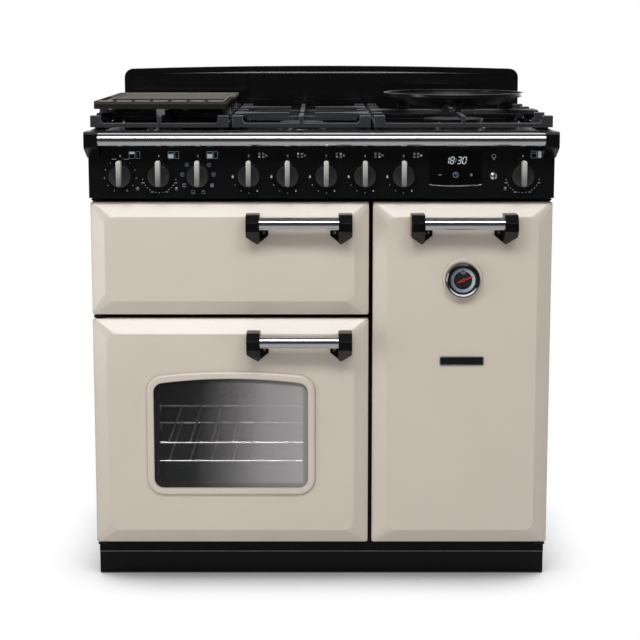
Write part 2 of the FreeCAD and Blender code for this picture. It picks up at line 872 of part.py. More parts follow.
class Fan:
    """The fan at the back of one oven."""

    def __init__(self, chamber):
        self.x = middle(chamber.x)
        self.z = middle(chamber.z)
        self.wall = chamber.y[1]
        self.motor = self.wall + D.cavity_wall

    def hole(self):
        """The clearance hole of the shaft in the rear sheet."""
        radius = D.fan_shaft_radius + D.fan_shaft_hole_clearance
        return rod("y", (self.x, self.wall, self.z), radius, D.cavity_wall)

    def drive(self):
        """The motor behind the oven, bored for its shaft."""
        shell = rod("y", (self.x, self.motor, self.z), D.fan_motor_radius, D.fan_motor_length)
        radius = D.fan_shaft_radius + D.fan_shaft_clearance
        bore = rod("y", (self.x, self.motor, self.z), radius, D.fan_shaft_reach + D.fan_gap)
        return cut(shell, bore)

    def impeller(self):
        """Disc, blades, hub and shaft, all turning together."""
        disc_rear = self.wall - D.fan_gap
        disc_front = disc_rear - D.fan_disc
        shaft_front = disc_front - D.fan_blade_height
        length = self.motor + D.fan_shaft_reach - shaft_front
        pieces = [
            rod("y", (self.x, shaft_front, self.z), D.fan_shaft_radius, length),
            rod("y", (self.x, shaft_front, self.z), D.fan_hub_radius, disc_rear - shaft_front),
            rod("y", (self.x, disc_front, self.z), D.fan_radius, D.fan_disc),
        ]
        for index in range(COUNTS.blades):
            blade = DOC.addObject("Part::Box", "blade")
            bind(blade, "Length", D.fan_blade_depth)
            bind(blade, "Width", D.fan_blade_height + D.fan_disc)
            bind(blade, "Height", D.fan_disc)
            turn = 2 * math.pi * index / COUNTS.blades
            blade.Placement = FreeCAD.Placement(
                FreeCAD.Vector(),
                FreeCAD.Rotation(FreeCAD.Vector(0, -1, 0), math.degrees(turn)),
            )
            reach = D.fan_radius - D.fan_blade_depth
            place(blade, (self.x + reach * math.cos(turn), shaft_front, self.z + reach * math.sin(turn)))
            pieces.append(blade)
        return fuse(*pieces)

    def cover(self):
        """The sheet box over the fan, pierced in a ring and open at its sides."""
        half = D.fan_cover_size / 2
        front = self.wall - D.fan_cover_depth
        shell = block(around(self.x, half), (front, self.wall), around(self.z, half))
        inner = half - D.fan_cover_sheet
        hollow = block(around(self.x, inner), (front + D.fan_cover_sheet, self.wall), around(self.z, inner))
        tools = [hollow]
        for index in range(COUNTS.cover_holes):
            turn = 2 * math.pi * index / COUNTS.cover_holes
            spot = (
                self.x + D.fan_cover_ring * math.cos(turn),
                front,
                self.z + D.fan_cover_ring * math.sin(turn),
            )
            tools.append(rod("y", spot, D.fan_cover_hole, D.fan_cover_sheet))
        return cut(shell, *tools)

    def element(self):
        """The ring element round the fan, on two legs from the rear sheet."""
        level = self.wall - D.fan_gap - D.fan_blade_height / 2
        ring = DOC.addObject("Part::Torus", "ring")
        bind(ring, "Radius1", D.element_ring_radius)
        bind(ring, "Radius2", D.element_radius)
        ring.Placement = FreeCAD.Placement(FreeCAD.Vector(), AXES["y"])
        place(ring, (self.x, level, self.z))
        pieces = [ring]
        for side in (-1, 1):
            spot = (self.x + side * D.element_leg_spread, level, self.z - D.element_ring_radius)
            pieces.append(rod("y", spot, D.element_leg_radius, self.wall - level))
        return fuse(*pieces)


def grill_element():
    """A bent rod under the roof of the grill, with the clips that hang it."""
    level = GRILL.z[1] - D.grill_element_drop
    x = inset(GRILL.x, D.grill_element_inset)
    y = (GRILL.y[0] + D.grill_element_front, GRILL.y[0] + D.grill_pan_depth)
    radius = D.element_radius.value
    pitch = (x[1].value - x[0].value) / (2 * COUNTS.element_turns - 1)
    bend = pitch / 2
    front, rear = y[0].value + bend, y[1].value - bend
    edges = []
    for index in range(2 * COUNTS.element_turns):
        run_x = x[0].value + pitch * index
        start = FreeCAD.Vector(run_x, front, level.value)
        end = FreeCAD.Vector(run_x, rear, level.value)
        edges.append(Part.makeLine(start, end))
        if index < 2 * COUNTS.element_turns - 1:
            far = rear if index % 2 == 0 else front
            sign = 1 if index % 2 == 0 else -1
            bend_start = FreeCAD.Vector(run_x, far, level.value)
            bend_top = FreeCAD.Vector(run_x + bend, far + sign * bend, level.value)
            bend_end = FreeCAD.Vector(run_x + pitch, far, level.value)
            edges.append(Part.Arc(bend_start, bend_top, bend_end).toShape())
    path = Part.Wire(Part.__sortEdges__(edges))
    start = FreeCAD.Vector(x[0].value, front, level.value)
    circle = Part.makeCircle(radius, start, FreeCAD.Vector(0, 1, 0))
    rod_shape = path.makePipeShell([Part.Wire([circle])], True, False)
    element = DOC.addObject("Part::Feature", "grill_rod")
    element.Shape = rod_shape
    clips = []
    for side in (x[0], x[1]):
        clip_y = around(middle(y), D.grill_clip_width / 2)
        clip_z = (level + D.element_radius, GRILL.z[1])
        clips.append(block(around(side, D.grill_clip_width / 2), clip_y, clip_z))
    return [element, *clips]


def build_chambers():
    """Liners, shelves, fans, elements and the grill pan."""
    fans = (Fan(OVEN), Fan(TALL))
    low = OVEN.z[0] + D.shelf_low
    left_levels = (low, low + D.shelf_step)
    tall_low = TALL.z[0] + D.tall_shelf_low
    tall_levels = [tall_low + D.tall_shelf_step * index for index in range(COUNTS.tall_shelves)]
    grill_level = GRILL.z[0] + D.grill_pan_lift
    node("grill_liner", box_liner(GRILL, None, [grill_level]))
    node("left_oven_liner", box_liner(OVEN, fans[0].hole(), left_levels))
    node("right_oven_liner", box_liner(TALL, fans[1].hole(), tall_levels))
    left_shelves = [shelf(OVEN, level) for level in left_levels]
    tall_shelves = [shelf(TALL, level) for level in tall_levels]
    node("oven_shelves", group(*left_shelves, *tall_shelves))

    node("fan_motors", group(*[fan.drive() for fan in fans]))
    node("fan_covers", group(*[fan.cover() for fan in fans]))
    node("left_fan_impeller", fans[0].impeller())
    node("right_fan_impeller", fans[1].impeller())
    node("heating_elements", group(*[fan.element() for fan in fans], *grill_element()))

    pan_x = inset(GRILL.x, D.grill_pan_side_gap)
    pan_front = GRILL.y[0] + D.grill_pan_front_gap
    pan_y = (pan_front, pan_front + D.grill_pan_depth)
    pan_z = (grill_level, grill_level + D.grill_pan_height)
    sheet = D.grill_pan_sheet
    hollow = block(inset(pan_x, sheet), inset(pan_y, sheet), (pan_z[0] + sheet, pan_z[1]))
    node("grill_pan", cut(block(pan_x, pan_y, pan_z), hollow))


def door_shell(x, z):
    """A pressed door panel: raised flat, sloping border and deep skirt, open behind."""
    body = new_body()
    rim = new_sketch(body, "xz", DOOR_RIM)
    draw_rounded(rim, x, z, D.door_rim_radius)
    flat = new_sketch(body, "xz", DOOR_FACE)
    draw_rounded(flat, inset(x, D.bevel_width), inset(z, D.bevel_width), D.door_flat_radius)
    add_pad(body, rim, D.skirt_depth, backwards=True)
    add_loft(body, "AdditiveLoft", rim, flat)
    inner_rim = new_sketch(body, "xz", DOOR_RIM)
    sheet = D.door_sheet
    draw_rounded(inner_rim, inset(x, sheet), inset(z, sheet), D.door_rim_radius - sheet)
    inner_flat = new_sketch(body, "xz", DOOR_FACE + sheet)
    draw_rounded(inner_flat, inset(x, D.bevel_width), inset(z, D.bevel_width), D.door_flat_radius)
    add_pocket(body, inner_rim, D.skirt_depth)
    add_loft(body, "SubtractiveLoft", inner_rim, inner_flat)
    return body


def hinge_holes(x, z):
    """The holes in a door's skirt that run on the hinge pins."""
    radius = D.hinge_pin_radius + D.hinge_pin_clearance
    reach = D.door_sheet + D.hinge_pin_clearance
    return (
        rod("z", (x, HINGE_Y, z[0] - D.hinge_pin_clearance), radius, reach),
        rod("z", (x, HINGE_Y, z[1] - D.door_sheet), radius, reach),
    )


def door_liner(x, z):
    """The flat inner panel of a door."""
    margin = D.door_sheet + D.door_liner_clearance
    y = (DOOR_BACK - D.door_liner_thickness, DOOR_BACK)
    return rounded_slab("xz", inset(x, margin), inset(z, margin), D.door_rim_radius, *y)


def handle_bracket(edge, side, level):
    """A shield-shaped foot with a block for the bar's end; side is 1 at the left, -1 at the right."""
    def at(offset):
        """A place measured inwards from the outer edge."""
        return edge + offset * side

    top = level + D.bracket_rise
    tip = level - D.bracket_tip
    shoulder = level - D.bracket_side
    half = D.bracket_base / 2
    fall = (D.bracket_tip - D.bracket_side) / half
    inner_low = tip + (D.bracket_block - half) * fall
    front_view = [
        (at(ZERO), top),
        (at(D.bracket_block), top),
        (at(D.bracket_block), inner_low),
        (at(half), tip),
        (at(ZERO), shoulder),
    ]
    side_view = [
        (DOOR_FACE, top),
        (FRONT + D.bracket_slope, top),
        (FRONT, top - D.bracket_slope),
        (FRONT, level - D.bracket_slope),
        (DOOR_FACE - D.bracket_foot, tip),
        (DOOR_FACE, tip),
    ]
    span = (at(ZERO), at(D.bracket_block))
    low, high = span if side > 0 else span[::-1]
    arm = common(slab("xz", front_view, FRONT, DOOR_FACE), slab("yz", side_view, low, high))
    wing_top = level - D.wing_drop
    wing_view = [
        (at(D.bracket_block), wing_top),
        (at(D.bracket_base), wing_top),
        (at(D.bracket_base), shoulder),
        (at(D.bracket_block), inner_low),
    ]
    wing = slab("xz", wing_view, DOOR_FACE - D.wing_thickness, DOOR_FACE)
    screw_x = (at(D.bracket_block) + at(D.bracket_base)) / 2
    screw_z = (wing_top + shoulder) / 2
    recess = rod("y", (screw_x, DOOR_FACE - D.wing_thickness, screw_z), D.screw_radius, D.screw_sink)
    return cut(fuse(arm, wing), recess)


def build_handle(name, left, door_top):
    """The bar and its two brackets on one door."""
    level = door_top - D.handle_drop
    right = left + D.handle_length
    bar_y = FRONT + D.handle_bar_radius
    bar_x = (left + D.bracket_block, right - D.bracket_block)
    node(f"{name}_handle_bar", rod("x", (bar_x[0], bar_y, level), D.handle_bar_radius, bar_x[1] - bar_x[0]))
    node(f"{name}_handle_brackets", group(handle_bracket(left, 1, level), handle_bracket(right, -1, level)))


def build_grill_door():
    """The short door over the grill, hung on its left."""
    hinge_x = LEFT_X[0] + D.hinge_inset
    node("grill_door_panel", cut(door_shell(LEFT_X, GRILL_Z), *hinge_holes(hinge_x, GRILL_Z)))
    node("grill_door_liner", door_liner(LEFT_X, GRILL_Z))
    build_handle("grill_door", LEFT_X[1] - D.handle_end_inset - D.handle_length, DOOR_TOP)


def arched_pane(x, z, y, radius):
    """An arched outline with rounded corners raised between two planes."""
    body = new_body()
    sketch = new_sketch(body, "xz", y[1])
    draw_arched(sketch, x, z, D.window_rise)
    add_pad(body, sketch, y[1] - y[0])
    depth = FreeCAD.Vector(0, 1, 0)
    soften(body, radius, lambda edge: runs_along(edge, depth))
    return body


def build_oven_door():
    """The left oven door with its window."""
    hinge_x = LEFT_X[0] + D.hinge_inset
    x = around(middle(LEFT_X), D.window_width / 2)
    z = around(middle(OVEN_Z), D.window_height / 2)
    bead_y = (DOOR_FACE - D.bead_height, DOOR_FACE + D.door_sheet)
    bead_radius = D.window_radius + D.bead_width
    bead = arched_pane(inset(x, -D.bead_width), inset(z, -D.bead_width), bead_y, bead_radius)
    soften(bead, D.bead_round, lambda edge: lies_in(edge, "Y", bead_y[0]))
    opening_y = (bead_y[0], DOOR_FACE + D.bevel_depth)
    opening = arched_pane(x, z, opening_y, D.window_radius)
    shell = cut(fuse(door_shell(LEFT_X, OVEN_Z), bead), opening)
    node("oven_door_panel", cut(shell, *hinge_holes(hinge_x, OVEN_Z)))

    liner_front = DOOR_BACK - D.door_liner_thickness
    liner_opening = arched_pane(x, z, (liner_front, DOOR_BACK), D.window_radius)
    node("oven_door_liner", cut(door_liner(LEFT_X, OVEN_Z), liner_opening))

    pane_x = inset(x, -D.glass_lap)
    pane_z = inset(z, -D.glass_lap)
    pane_radius = D.window_radius + D.glass_lap
    outer_front = DOOR_FACE + D.door_sheet
    outer = arched_pane(pane_x, pane_z, (outer_front, outer_front + D.glass_thickness), pane_radius)
    inner = arched_pane(pane_x, pane_z, (liner_front - D.glass_thickness, liner_front), pane_radius)
    node("oven_door_glass", group(outer, inner))
    build_handle("oven_door", LEFT_X[1] - D.handle_end_inset - D.handle_length, OVEN_TOP)


def build_gauge(x, z):
    """Case, needle and lens of the temperature gauge."""
    recess = D.gauge_reach - D.gauge_recess
    clear = D.gauge_radius - D.gauge_lip
    lens_back = D.gauge_reach - D.gauge_lens_thickness
    hub_low = recess + D.needle_lift
    profile = [
        (ZERO, -D.gauge_stem_length),
        (D.gauge_stem_radius, -D.gauge_stem_length),
        (D.gauge_stem_radius, ZERO),
        (D.gauge_radius, ZERO),
        (D.gauge_radius, lens_back),
        (D.gauge_radius - D.gauge_lip / 2, D.gauge_reach),
        (clear, D.gauge_reach),
        (clear, recess),
        (D.gauge_post_radius, recess),
        (D.gauge_post_radius, hub_low + D.needle_thickness * 2),
        (ZERO, hub_low + D.needle_thickness * 2),
    ]
    case = turned("-y", (x, DOOR_FACE, z), profile)
    lens = rod("-y", (x, DOOR_FACE - lens_back, z), clear, D.gauge_lens_thickness)
    node("gauge_case", group(case, lens))

    hub_y = DOOR_FACE - hub_low - D.needle_thickness
    hub = rod("y", (x, hub_y, z), D.needle_hub_radius, D.needle_thickness)
    arm = DOC.addObject("Part::Box", "needle_arm")
    bind(arm, "Length", D.needle_length + D.needle_tail)
    bind(arm, "Width", D.needle_thickness)
    bind(arm, "Height", D.needle_width)
    turn = FreeCAD.Rotation(FreeCAD.Vector(0, -1, 0), D.needle_angle.value)
    arm.Placement = FreeCAD.Placement(FreeCAD.Vector(), turn)
    tilt = math.radians(D.needle_angle.value)
    half = D.needle_width / 2
    place(
        arm,
        (
            x - D.needle_tail * math.cos(tilt) + half * math.sin(tilt),
            hub_y,
            z - D.needle_tail * math.sin(tilt) - half * math.cos(tilt),
        ),
    )
    bore_radius = D.gauge_post_radius + D.needle_clearance
    bore = rod("y", (x, hub_y, z), bore_radius, D.needle_thickness)
    node("gauge_needle", cut(fuse(hub, arm), bore))


def build_tall_door():
    """The tall right oven door with its gauge and name plate."""
    hinge_x = RIGHT_X[1] - D.hinge_inset
    x = middle(RIGHT_X)
    gauge_z = DOOR_TOP - D.gauge_drop
    boss = new_body()
    boss_sketch = new_sketch(boss, "xz", DOOR_FACE + D.door_sheet)
    draw_circle(boss_sketch, (x, gauge_z + D.gauge_boss_lift), D.gauge_boss_radius)
    add_pad(boss, boss_sketch, D.gauge_boss_height + D.door_sheet)
    soften(boss, D.gauge_boss_round, lambda edge: lies_in(edge, "Y", DOOR_FACE - D.gauge_boss_height))
    seat_radius = D.gauge_radius + D.gauge_boss_clearance
    seat = rod("-y", (x, DOOR_FACE, gauge_z), seat_radius, D.gauge_boss_height)
    hole_radius = D.gauge_stem_radius + D.gauge_hole_clearance
    hole_depth = D.gauge_boss_height + D.bevel_depth
    hole = rod("y", (x, DOOR_FACE - D.gauge_boss_height, gauge_z), hole_radius, hole_depth)
    shell = cut(cut(fuse(door_shell(RIGHT_X, TALL_Z), boss), seat), hole)
    node("right_door_panel", cut(shell, *hinge_holes(hinge_x, TALL_Z)))
    node("right_door_liner", door_liner(RIGHT_X, TALL_Z))
    build_handle("right_door", x - D.handle_length / 2, DOOR_TOP)
    build_gauge(x, gauge_z)
    badge_x = around(x, D.badge_width / 2)
    badge_z = around(DOOR_TOP - D.badge_drop, D.badge_height / 2)
    badge = rounded_slab("xz", badge_x, badge_z, D.badge_radius, DOOR_FACE - D.badge_thickness, DOOR_FACE)
    node("name_plate", badge)


# Places along the control panel
KNOB_Z = PANEL_BOTTOM + D.knob_rise
KNOB_FIRST = LEFT_X[0] + D.knob_end_margin
KNOB_THIRD = KNOB_FIRST + 2 * D.knob_pitch
DISPLAY_X = (RIGHT_X[1] - D.display_end_margin - D.display_width, RIGHT_X[1] - D.display_end_margin)
DISPLAY_Z = (PANEL_BOTTOM + D.display_rise, PANEL_BOTTOM + D.display_rise + D.display_height)
BURNER_KNOB_FIRST = KNOB_THIRD + D.burner_knob_lead
BURNER_KNOB_PITCH = (DISPLAY_X[0] - D.burner_knob_trail - BURNER_KNOB_FIRST) / 4
BUTTON_X = RIGHT_X[1] - D.button_end_margin
KNOB_LAST = RIGHT_X[1] - D.knob_end_margin
OVEN_KNOBS = {
    "grill_knob": KNOB_FIRST,
    "left_oven_temperature_knob": KNOB_FIRST + D.knob_pitch,
    "left_oven_function_knob": KNOB_THIRD,
    "right_oven_knob": KNOB_LAST,
}
BURNER_KNOBS = {f"burner_knob_{n + 1}": BURNER_KNOB_FIRST + BURNER_KNOB_PITCH * n for n in range(5)}
INDICATOR_X = (
    KNOB_FIRST + D.indicator_offset,
    KNOB_FIRST + D.knob_pitch + D.indicator_offset,
    KNOB_LAST - D.indicator_offset,
)
GAS_X = KNOB_LAST + D.switch_size / 2 + D.gas_pipe_margin + D.gas_pipe_radius
MANIFOLD_Y = PANEL_BACK + D.switch_depth + D.manifold_radius


def build_knob(name, x):
    """A dial on its shaft with a metal grip across it."""
    skirt = D.knob_gap + D.knob_skirt_thickness
    front = skirt + D.knob_dial_thickness
    shaft_end = -(D.panel_sheet + D.knob_shaft_reach)
    profile = [
        (ZERO, shaft_end),
        (D.knob_shaft_radius, shaft_end),
        (D.knob_shaft_radius, D.knob_gap),
        (D.knob_skirt_radius, D.knob_gap),
        (D.knob_skirt_radius, skirt),
        (D.knob_dial_radius, skirt),
        (D.knob_dial_radius, front - D.knob_edge),
        (D.knob_dial_radius - D.knob_edge, front),
        (ZERO, front),
    ]
    dial = turned("-y", (x, DOOR_FACE, KNOB_Z), profile)
    grip_y = (DOOR_FACE - front - D.grip_reach, DOOR_FACE - front)
    grip_x = around(x, D.grip_width / 2)
    grip_z = (KNOB_Z - D.grip_tail, KNOB_Z + D.grip_top)
    grip = rounded_slab("xz", grip_x, grip_z, D.grip_end_radius, *grip_y)
    soften(grip, D.grip_round, lambda edge: lies_in(edge, "Y", grip_y[0]))
    node(name, group(dial, grip))


def build_control_panel():
    """The panel across the front with its knobs, clock, button and lamps."""
    knob_hole = D.knob_shaft_radius + D.panel_hole_clearance
    lamp_hole = D.indicator_radius + D.button_clearance
    button_hole = D.button_radius + D.button_clearance
    panel_x = (LEFT_X[0], RIGHT_X[1])
    panel_z = (PANEL_BOTTOM, PANEL_TOP)
    sheet = D.panel_sheet
    shell = block(panel_x, (DOOR_FACE, FRAME_BACK), panel_z)
    hollow = block(inset(panel_x, sheet), (PANEL_BACK, FRAME_BACK), inset(panel_z, sheet))
    knobs = {**OVEN_KNOBS, **BURNER_KNOBS}
    lamp_z = KNOB_Z - D.indicator_drop
    tools = [rod("y", (x, DOOR_FACE, KNOB_Z), knob_hole, sheet) for x in knobs.values()]
    tools += [rod("y", (x, DOOR_FACE, lamp_z), lamp_hole, sheet) for x in INDICATOR_X]
    tools.append(rod("y", (BUTTON_X, DOOR_FACE, KNOB_Z), button_hole, sheet))
    window_x = inset(DISPLAY_X, D.display_body_inset - D.display_clearance)
    window_z = inset(DISPLAY_Z, D.display_body_inset - D.display_clearance)
    tools.append(block(window_x, (DOOR_FACE, PANEL_BACK), window_z))
    node("control_panel", cut(cut(shell, hollow), *tools))

    for name, x in knobs.items():
        build_knob(name, x)

    lens_y = (DOOR_FACE - D.display_proud, DOOR_FACE)
    lens = rounded_slab("xz", DISPLAY_X, DISPLAY_Z, D.display_radius, *lens_y)
    body_x = inset(DISPLAY_X, D.display_body_inset)
    body_z = inset(DISPLAY_Z, D.display_body_inset)
    clock = block(body_x, (DOOR_FACE, DOOR_FACE + D.display_body_depth), body_z)
    node("clock_module", fuse(lens, clock))

    lamp_profile = [
        (ZERO, -D.indicator_body),
        (D.indicator_radius, -D.indicator_body),
        (D.indicator_radius, D.indicator_reach / 2),
        (D.indicator_radius / 2, D.indicator_reach),
        (ZERO, D.indicator_reach),
    ]
    lamps = [turned("-y", (x, DOOR_FACE, lamp_z), lamp_profile) for x in INDICATOR_X]
    node("indicator_lenses", group(*lamps))

    button_profile = [
        (ZERO, -D.button_body),
        (D.button_radius, -D.button_body),
        (D.button_radius, D.button_reach - D.button_dome),
        (D.button_radius / 2, D.button_reach),
        (ZERO, D.button_reach),
    ]
    node("light_button", turned("-y", (BUTTON_X, DOOR_FACE, KNOB_Z), button_profile))


def control_body(x, size):
    """A switch or tap behind the panel, bored for its shaft."""
    y = (PANEL_BACK, PANEL_BACK + D.switch_depth)
    body = block(around(x, size / 2), y, around(KNOB_Z, size / 2))
    radius = D.knob_shaft_radius + D.knob_shaft_clearance
    bore = rod("y", (x, PANEL_BACK, KNOB_Z), radius, D.knob_shaft_reach + D.knob_gap)
    return cut(body, bore)


def build_controls():
    """Switches, taps and the gas pipes behind the panel."""
    switches = [control_body(x, D.switch_size) for x in OVEN_KNOBS.values()]
    shell = block(
        around(BUTTON_X, D.button_switch_size / 2),
        (PANEL_BACK, PANEL_BACK + D.switch_depth),
        around(KNOB_Z, D.button_switch_size / 2),
    )
    bore_depth = D.button_body - D.panel_sheet + D.button_travel + D.button_clearance
    bore = rod("y", (BUTTON_X, PANEL_BACK, KNOB_Z), D.button_radius + D.button_clearance, bore_depth)
    node("switch_bodies", group(*switches, cut(shell, bore)))
    taps = [control_body(x, D.tap_size) for x in BURNER_KNOBS.values()]
    first = list(BURNER_KNOBS.values())[0] - D.tap_size / 2
    along = rod("x", (first, MANIFOLD_Y, KNOB_Z), D.manifold_radius, GAS_X - first)
    end = REAR - D.gas_end_inset
    back = rod("y", (GAS_X, MANIFOLD_Y, KNOB_Z), D.gas_pipe_radius, end - MANIFOLD_Y)
    pipe = fuse(along, back, ball((GAS_X, MANIFOLD_Y, KNOB_Z), D.gas_pipe_radius))
    bore = rod("y", (GAS_X, end - D.gas_bore_depth, KNOB_Z), D.gas_bore_radius, D.gas_bore_depth)
    node("gas_manifold", group(cut(pipe, bore), *taps))


def build_rail():
    """The rail along the front and its end brackets."""
    rail_y = FRONT + D.rail_radius
    rail_z = HOB_TOP - D.rail_drop
    inner = SIDE - D.rail_bracket_width
    node("front_rail", rod("x", (-inner, rail_y, rail_z), D.rail_radius, 2 * inner))
    profile = [
        (DOOR_FACE, HOB_TOP),
        (FRONT, HOB_TOP),
        (FRONT, HOB_TOP - D.rail_bracket_nose),
        (DOOR_FACE, HOB_TOP - D.rail_bracket_drop),
    ]
    across = FreeCAD.Vector(1, 0, 0)

    def on_the_nose(edge):
        """Tells whether an edge crosses the front of a bracket."""
        return runs_along(edge, across) and lies_in(edge, "Y", FRONT)

    brackets = []
    for low, high in ((-SIDE, -inner), (inner, SIDE)):
        bracket = slab("yz", profile, low, high)
        soften(bracket, D.rail_bracket_round, on_the_nose)
        brackets.append(bracket)
    node("rail_brackets", group(*brackets))


def build_splashback():
    """The low upstand behind the hob, hollow from the rear."""
    x = inset((-SIDE, SIDE), D.splash_inset)
    z = (PANEL_TOP - D.splash_skirt, HOB_TOP + D.splash_height + D.splash_rise)
    body = new_body()
    outline = new_sketch(body, "xz", REAR)
    draw_arched(outline, x, z, D.splash_rise)
    add_pad(body, outline, D.rear_inset)
    depth = FreeCAD.Vector(0, 1, 0)
    shoulder = HOB_TOP.value
    soften(body, D.splash_radius, lambda edge: runs_along(edge, depth) and edge.BoundBox.ZMin > shoulder)
    face = new_sketch(body, "xz", CASE_BACK)
    face_z = (HOB_TOP + D.splash_border, z[1] - D.splash_border)
    draw_arched(face, inset(x, D.splash_border), face_z, D.splash_rise)
    add_pocket(body, face, D.splash_recess)
    hollow = new_sketch(body, "xz", REAR)
    hollow_z = (z[0] + D.splash_sheet, HOB_TOP + D.splash_height - D.splash_radius)
    draw_polygon(hollow, rectangle(inset(x, D.splash_sheet), hollow_z))
    add_pocket(body, hollow, D.rear_inset - D.splash_sheet - D.splash_recess, forwards=True)
    node("splashback", body)


# Places on the hob
SUPPORT_RIGHT = inset(RIGHT_X, D.support_margin)
SUPPORT_START = LEFT_X[0] + D.support_margin
SUPPORT_WIDTH = (SUPPORT_RIGHT[0] - 2 * D.support_gap - SUPPORT_START) / 2
SUPPORT_LEFT = (SUPPORT_START, SUPPORT_START + SUPPORT_WIDTH)
SUPPORT_CENTRE = (SUPPORT_LEFT[1] + D.support_gap, SUPPORT_LEFT[1] + D.support_gap + SUPPORT_WIDTH)
SUPPORT_Y = (DOOR_FACE + D.support_front_inset, CASE_BACK - D.support_rear_inset)
FINGER_LOW = TRAY_FLOOR + D.burner_height + D.cap_thickness + D.flame_gap
SUPPORT_TOP = FINGER_LOW + D.finger_height
FINGER_SPAN = (SUPPORT_TOP - D.finger_thickness, SUPPORT_TOP)
SUPPORT_BAR_TOP = FINGER_LOW + D.support_bar_lap
SUPPORT_BAR_Z = (SUPPORT_BAR_TOP - D.support_bar_height, SUPPORT_BAR_TOP)
HOB_MIDDLE = middle(SUPPORT_Y)
TAB_STEP = (SUPPORT_Y[1] - SUPPORT_Y[0] - D.tab_depth) / (COUNTS.tabs - 1)
PAIR_Y = (HOB_MIDDLE - TAB_STEP, HOB_MIDDLE + TAB_STEP)
BURNERS = (
    (middle(SUPPORT_LEFT), PAIR_Y[0], D.burner_small),
    (middle(SUPPORT_LEFT), PAIR_Y[1], D.burner_large),
    (middle(SUPPORT_CENTRE), PAIR_Y[0], D.burner_large),
    (middle(SUPPORT_CENTRE), PAIR_Y[1], D.burner_small),
    (middle(SUPPORT_RIGHT), HOB_MIDDLE, D.burner_wok),
)


def build_tray():
    """The pressed hob tray with a hole for each burner."""
    x = CASE_X
    y = (DOOR_FACE + D.tray_setback, CASE_BACK)
    shell = block(x, y, (PANEL_TOP, HOB_TOP))
    well = block(inset(x, D.tray_rim), inset(y, D.tray_rim), (TRAY_FLOOR, HOB_TOP))
    holes = []
    for burner_x, burner_y, radius in BURNERS:
        hole = radius - D.burner_cup_inset + D.burner_hole_clearance
        holes.append(rod("z", (burner_x, burner_y, PANEL_TOP), hole, D.tray_sheet))
    node("hob_tray", cut(cut(shell, well), *holes))


def build_burners():
    """Burner bodies, caps and spark electrodes."""
    bodies = []
    caps = []
    sparks = []
    for x, y, radius in BURNERS:
        cup = radius - D.burner_cup_inset
        flange = radius + D.burner_flange
        body_profile = [
            (ZERO, -D.burner_cup_depth),
            (cup, -D.burner_cup_depth),
            (cup, ZERO),
            (flange, ZERO),
            (flange, D.burner_flange_height),
            (radius, D.burner_flange_height),
            (radius, D.burner_height),
            (ZERO, D.burner_height),
        ]
        bodies.append(turned("z", (x, y, TRAY_FLOOR), body_profile))
        edge = radius + D.cap_overhang
        cap_profile = [
            (ZERO, ZERO),
            (edge, ZERO),
            (edge, D.cap_thickness - D.cap_edge),
            (edge - D.cap_edge, D.cap_thickness),
            (ZERO, D.cap_thickness),
        ]
        caps.append(turned("z", (x, y, TRAY_FLOOR + D.burner_height), cap_profile))
        spark_y = y - flange - D.spark_gap
        sparks.append(rod("z", (x + D.spark_offset, spark_y, TRAY_FLOOR), D.spark_radius, D.spark_height))
    node("burner_bodies", group(*bodies, *sparks))
    node("burner_caps", group(*caps))


def support_finger(side_x, direction, y, tip_x):
    """A finger from the side of a pan support towards a burner, wide at its root and hollow along its edges."""
    root = side_x + D.support_bar * direction
    shoulder = side_x + D.finger_shoulder_reach * direction
    waist = side_x + D.finger_waist_reach * direction
    edge = [
        (side_x, D.finger_root),
        (root, D.finger_root),
        (shoulder, D.finger_shoulder),
        (waist, D.finger_waist),
        (tip_x, D.finger_tip),
    ]
    corners = [(x, y - half) for x, half in edge] + [(x, y + half) for x, half in reversed(edge)]
    return slab("xy", corners, FINGER_SPAN[0], FINGER_SPAN[1])


def support_tab(side_x, direction, y):
    """A tab on the side of a pan support, narrower at its top."""
    inner = side_x + D.tab_width * direction
    corners = [
        (side_x, SUPPORT_BAR_Z[0]),
        (inner, SUPPORT_BAR_Z[0]),
        (inner, SUPPORT_BAR_TOP),
        (inner - D.tab_taper * direction, SUPPORT_BAR_TOP + D.tab_shoulder),
        (inner - D.tab_taper * direction, SUPPORT_TOP),
        (side_x, SUPPORT_TOP),
    ]
    return slab("xz", corners, y[0], y[1])


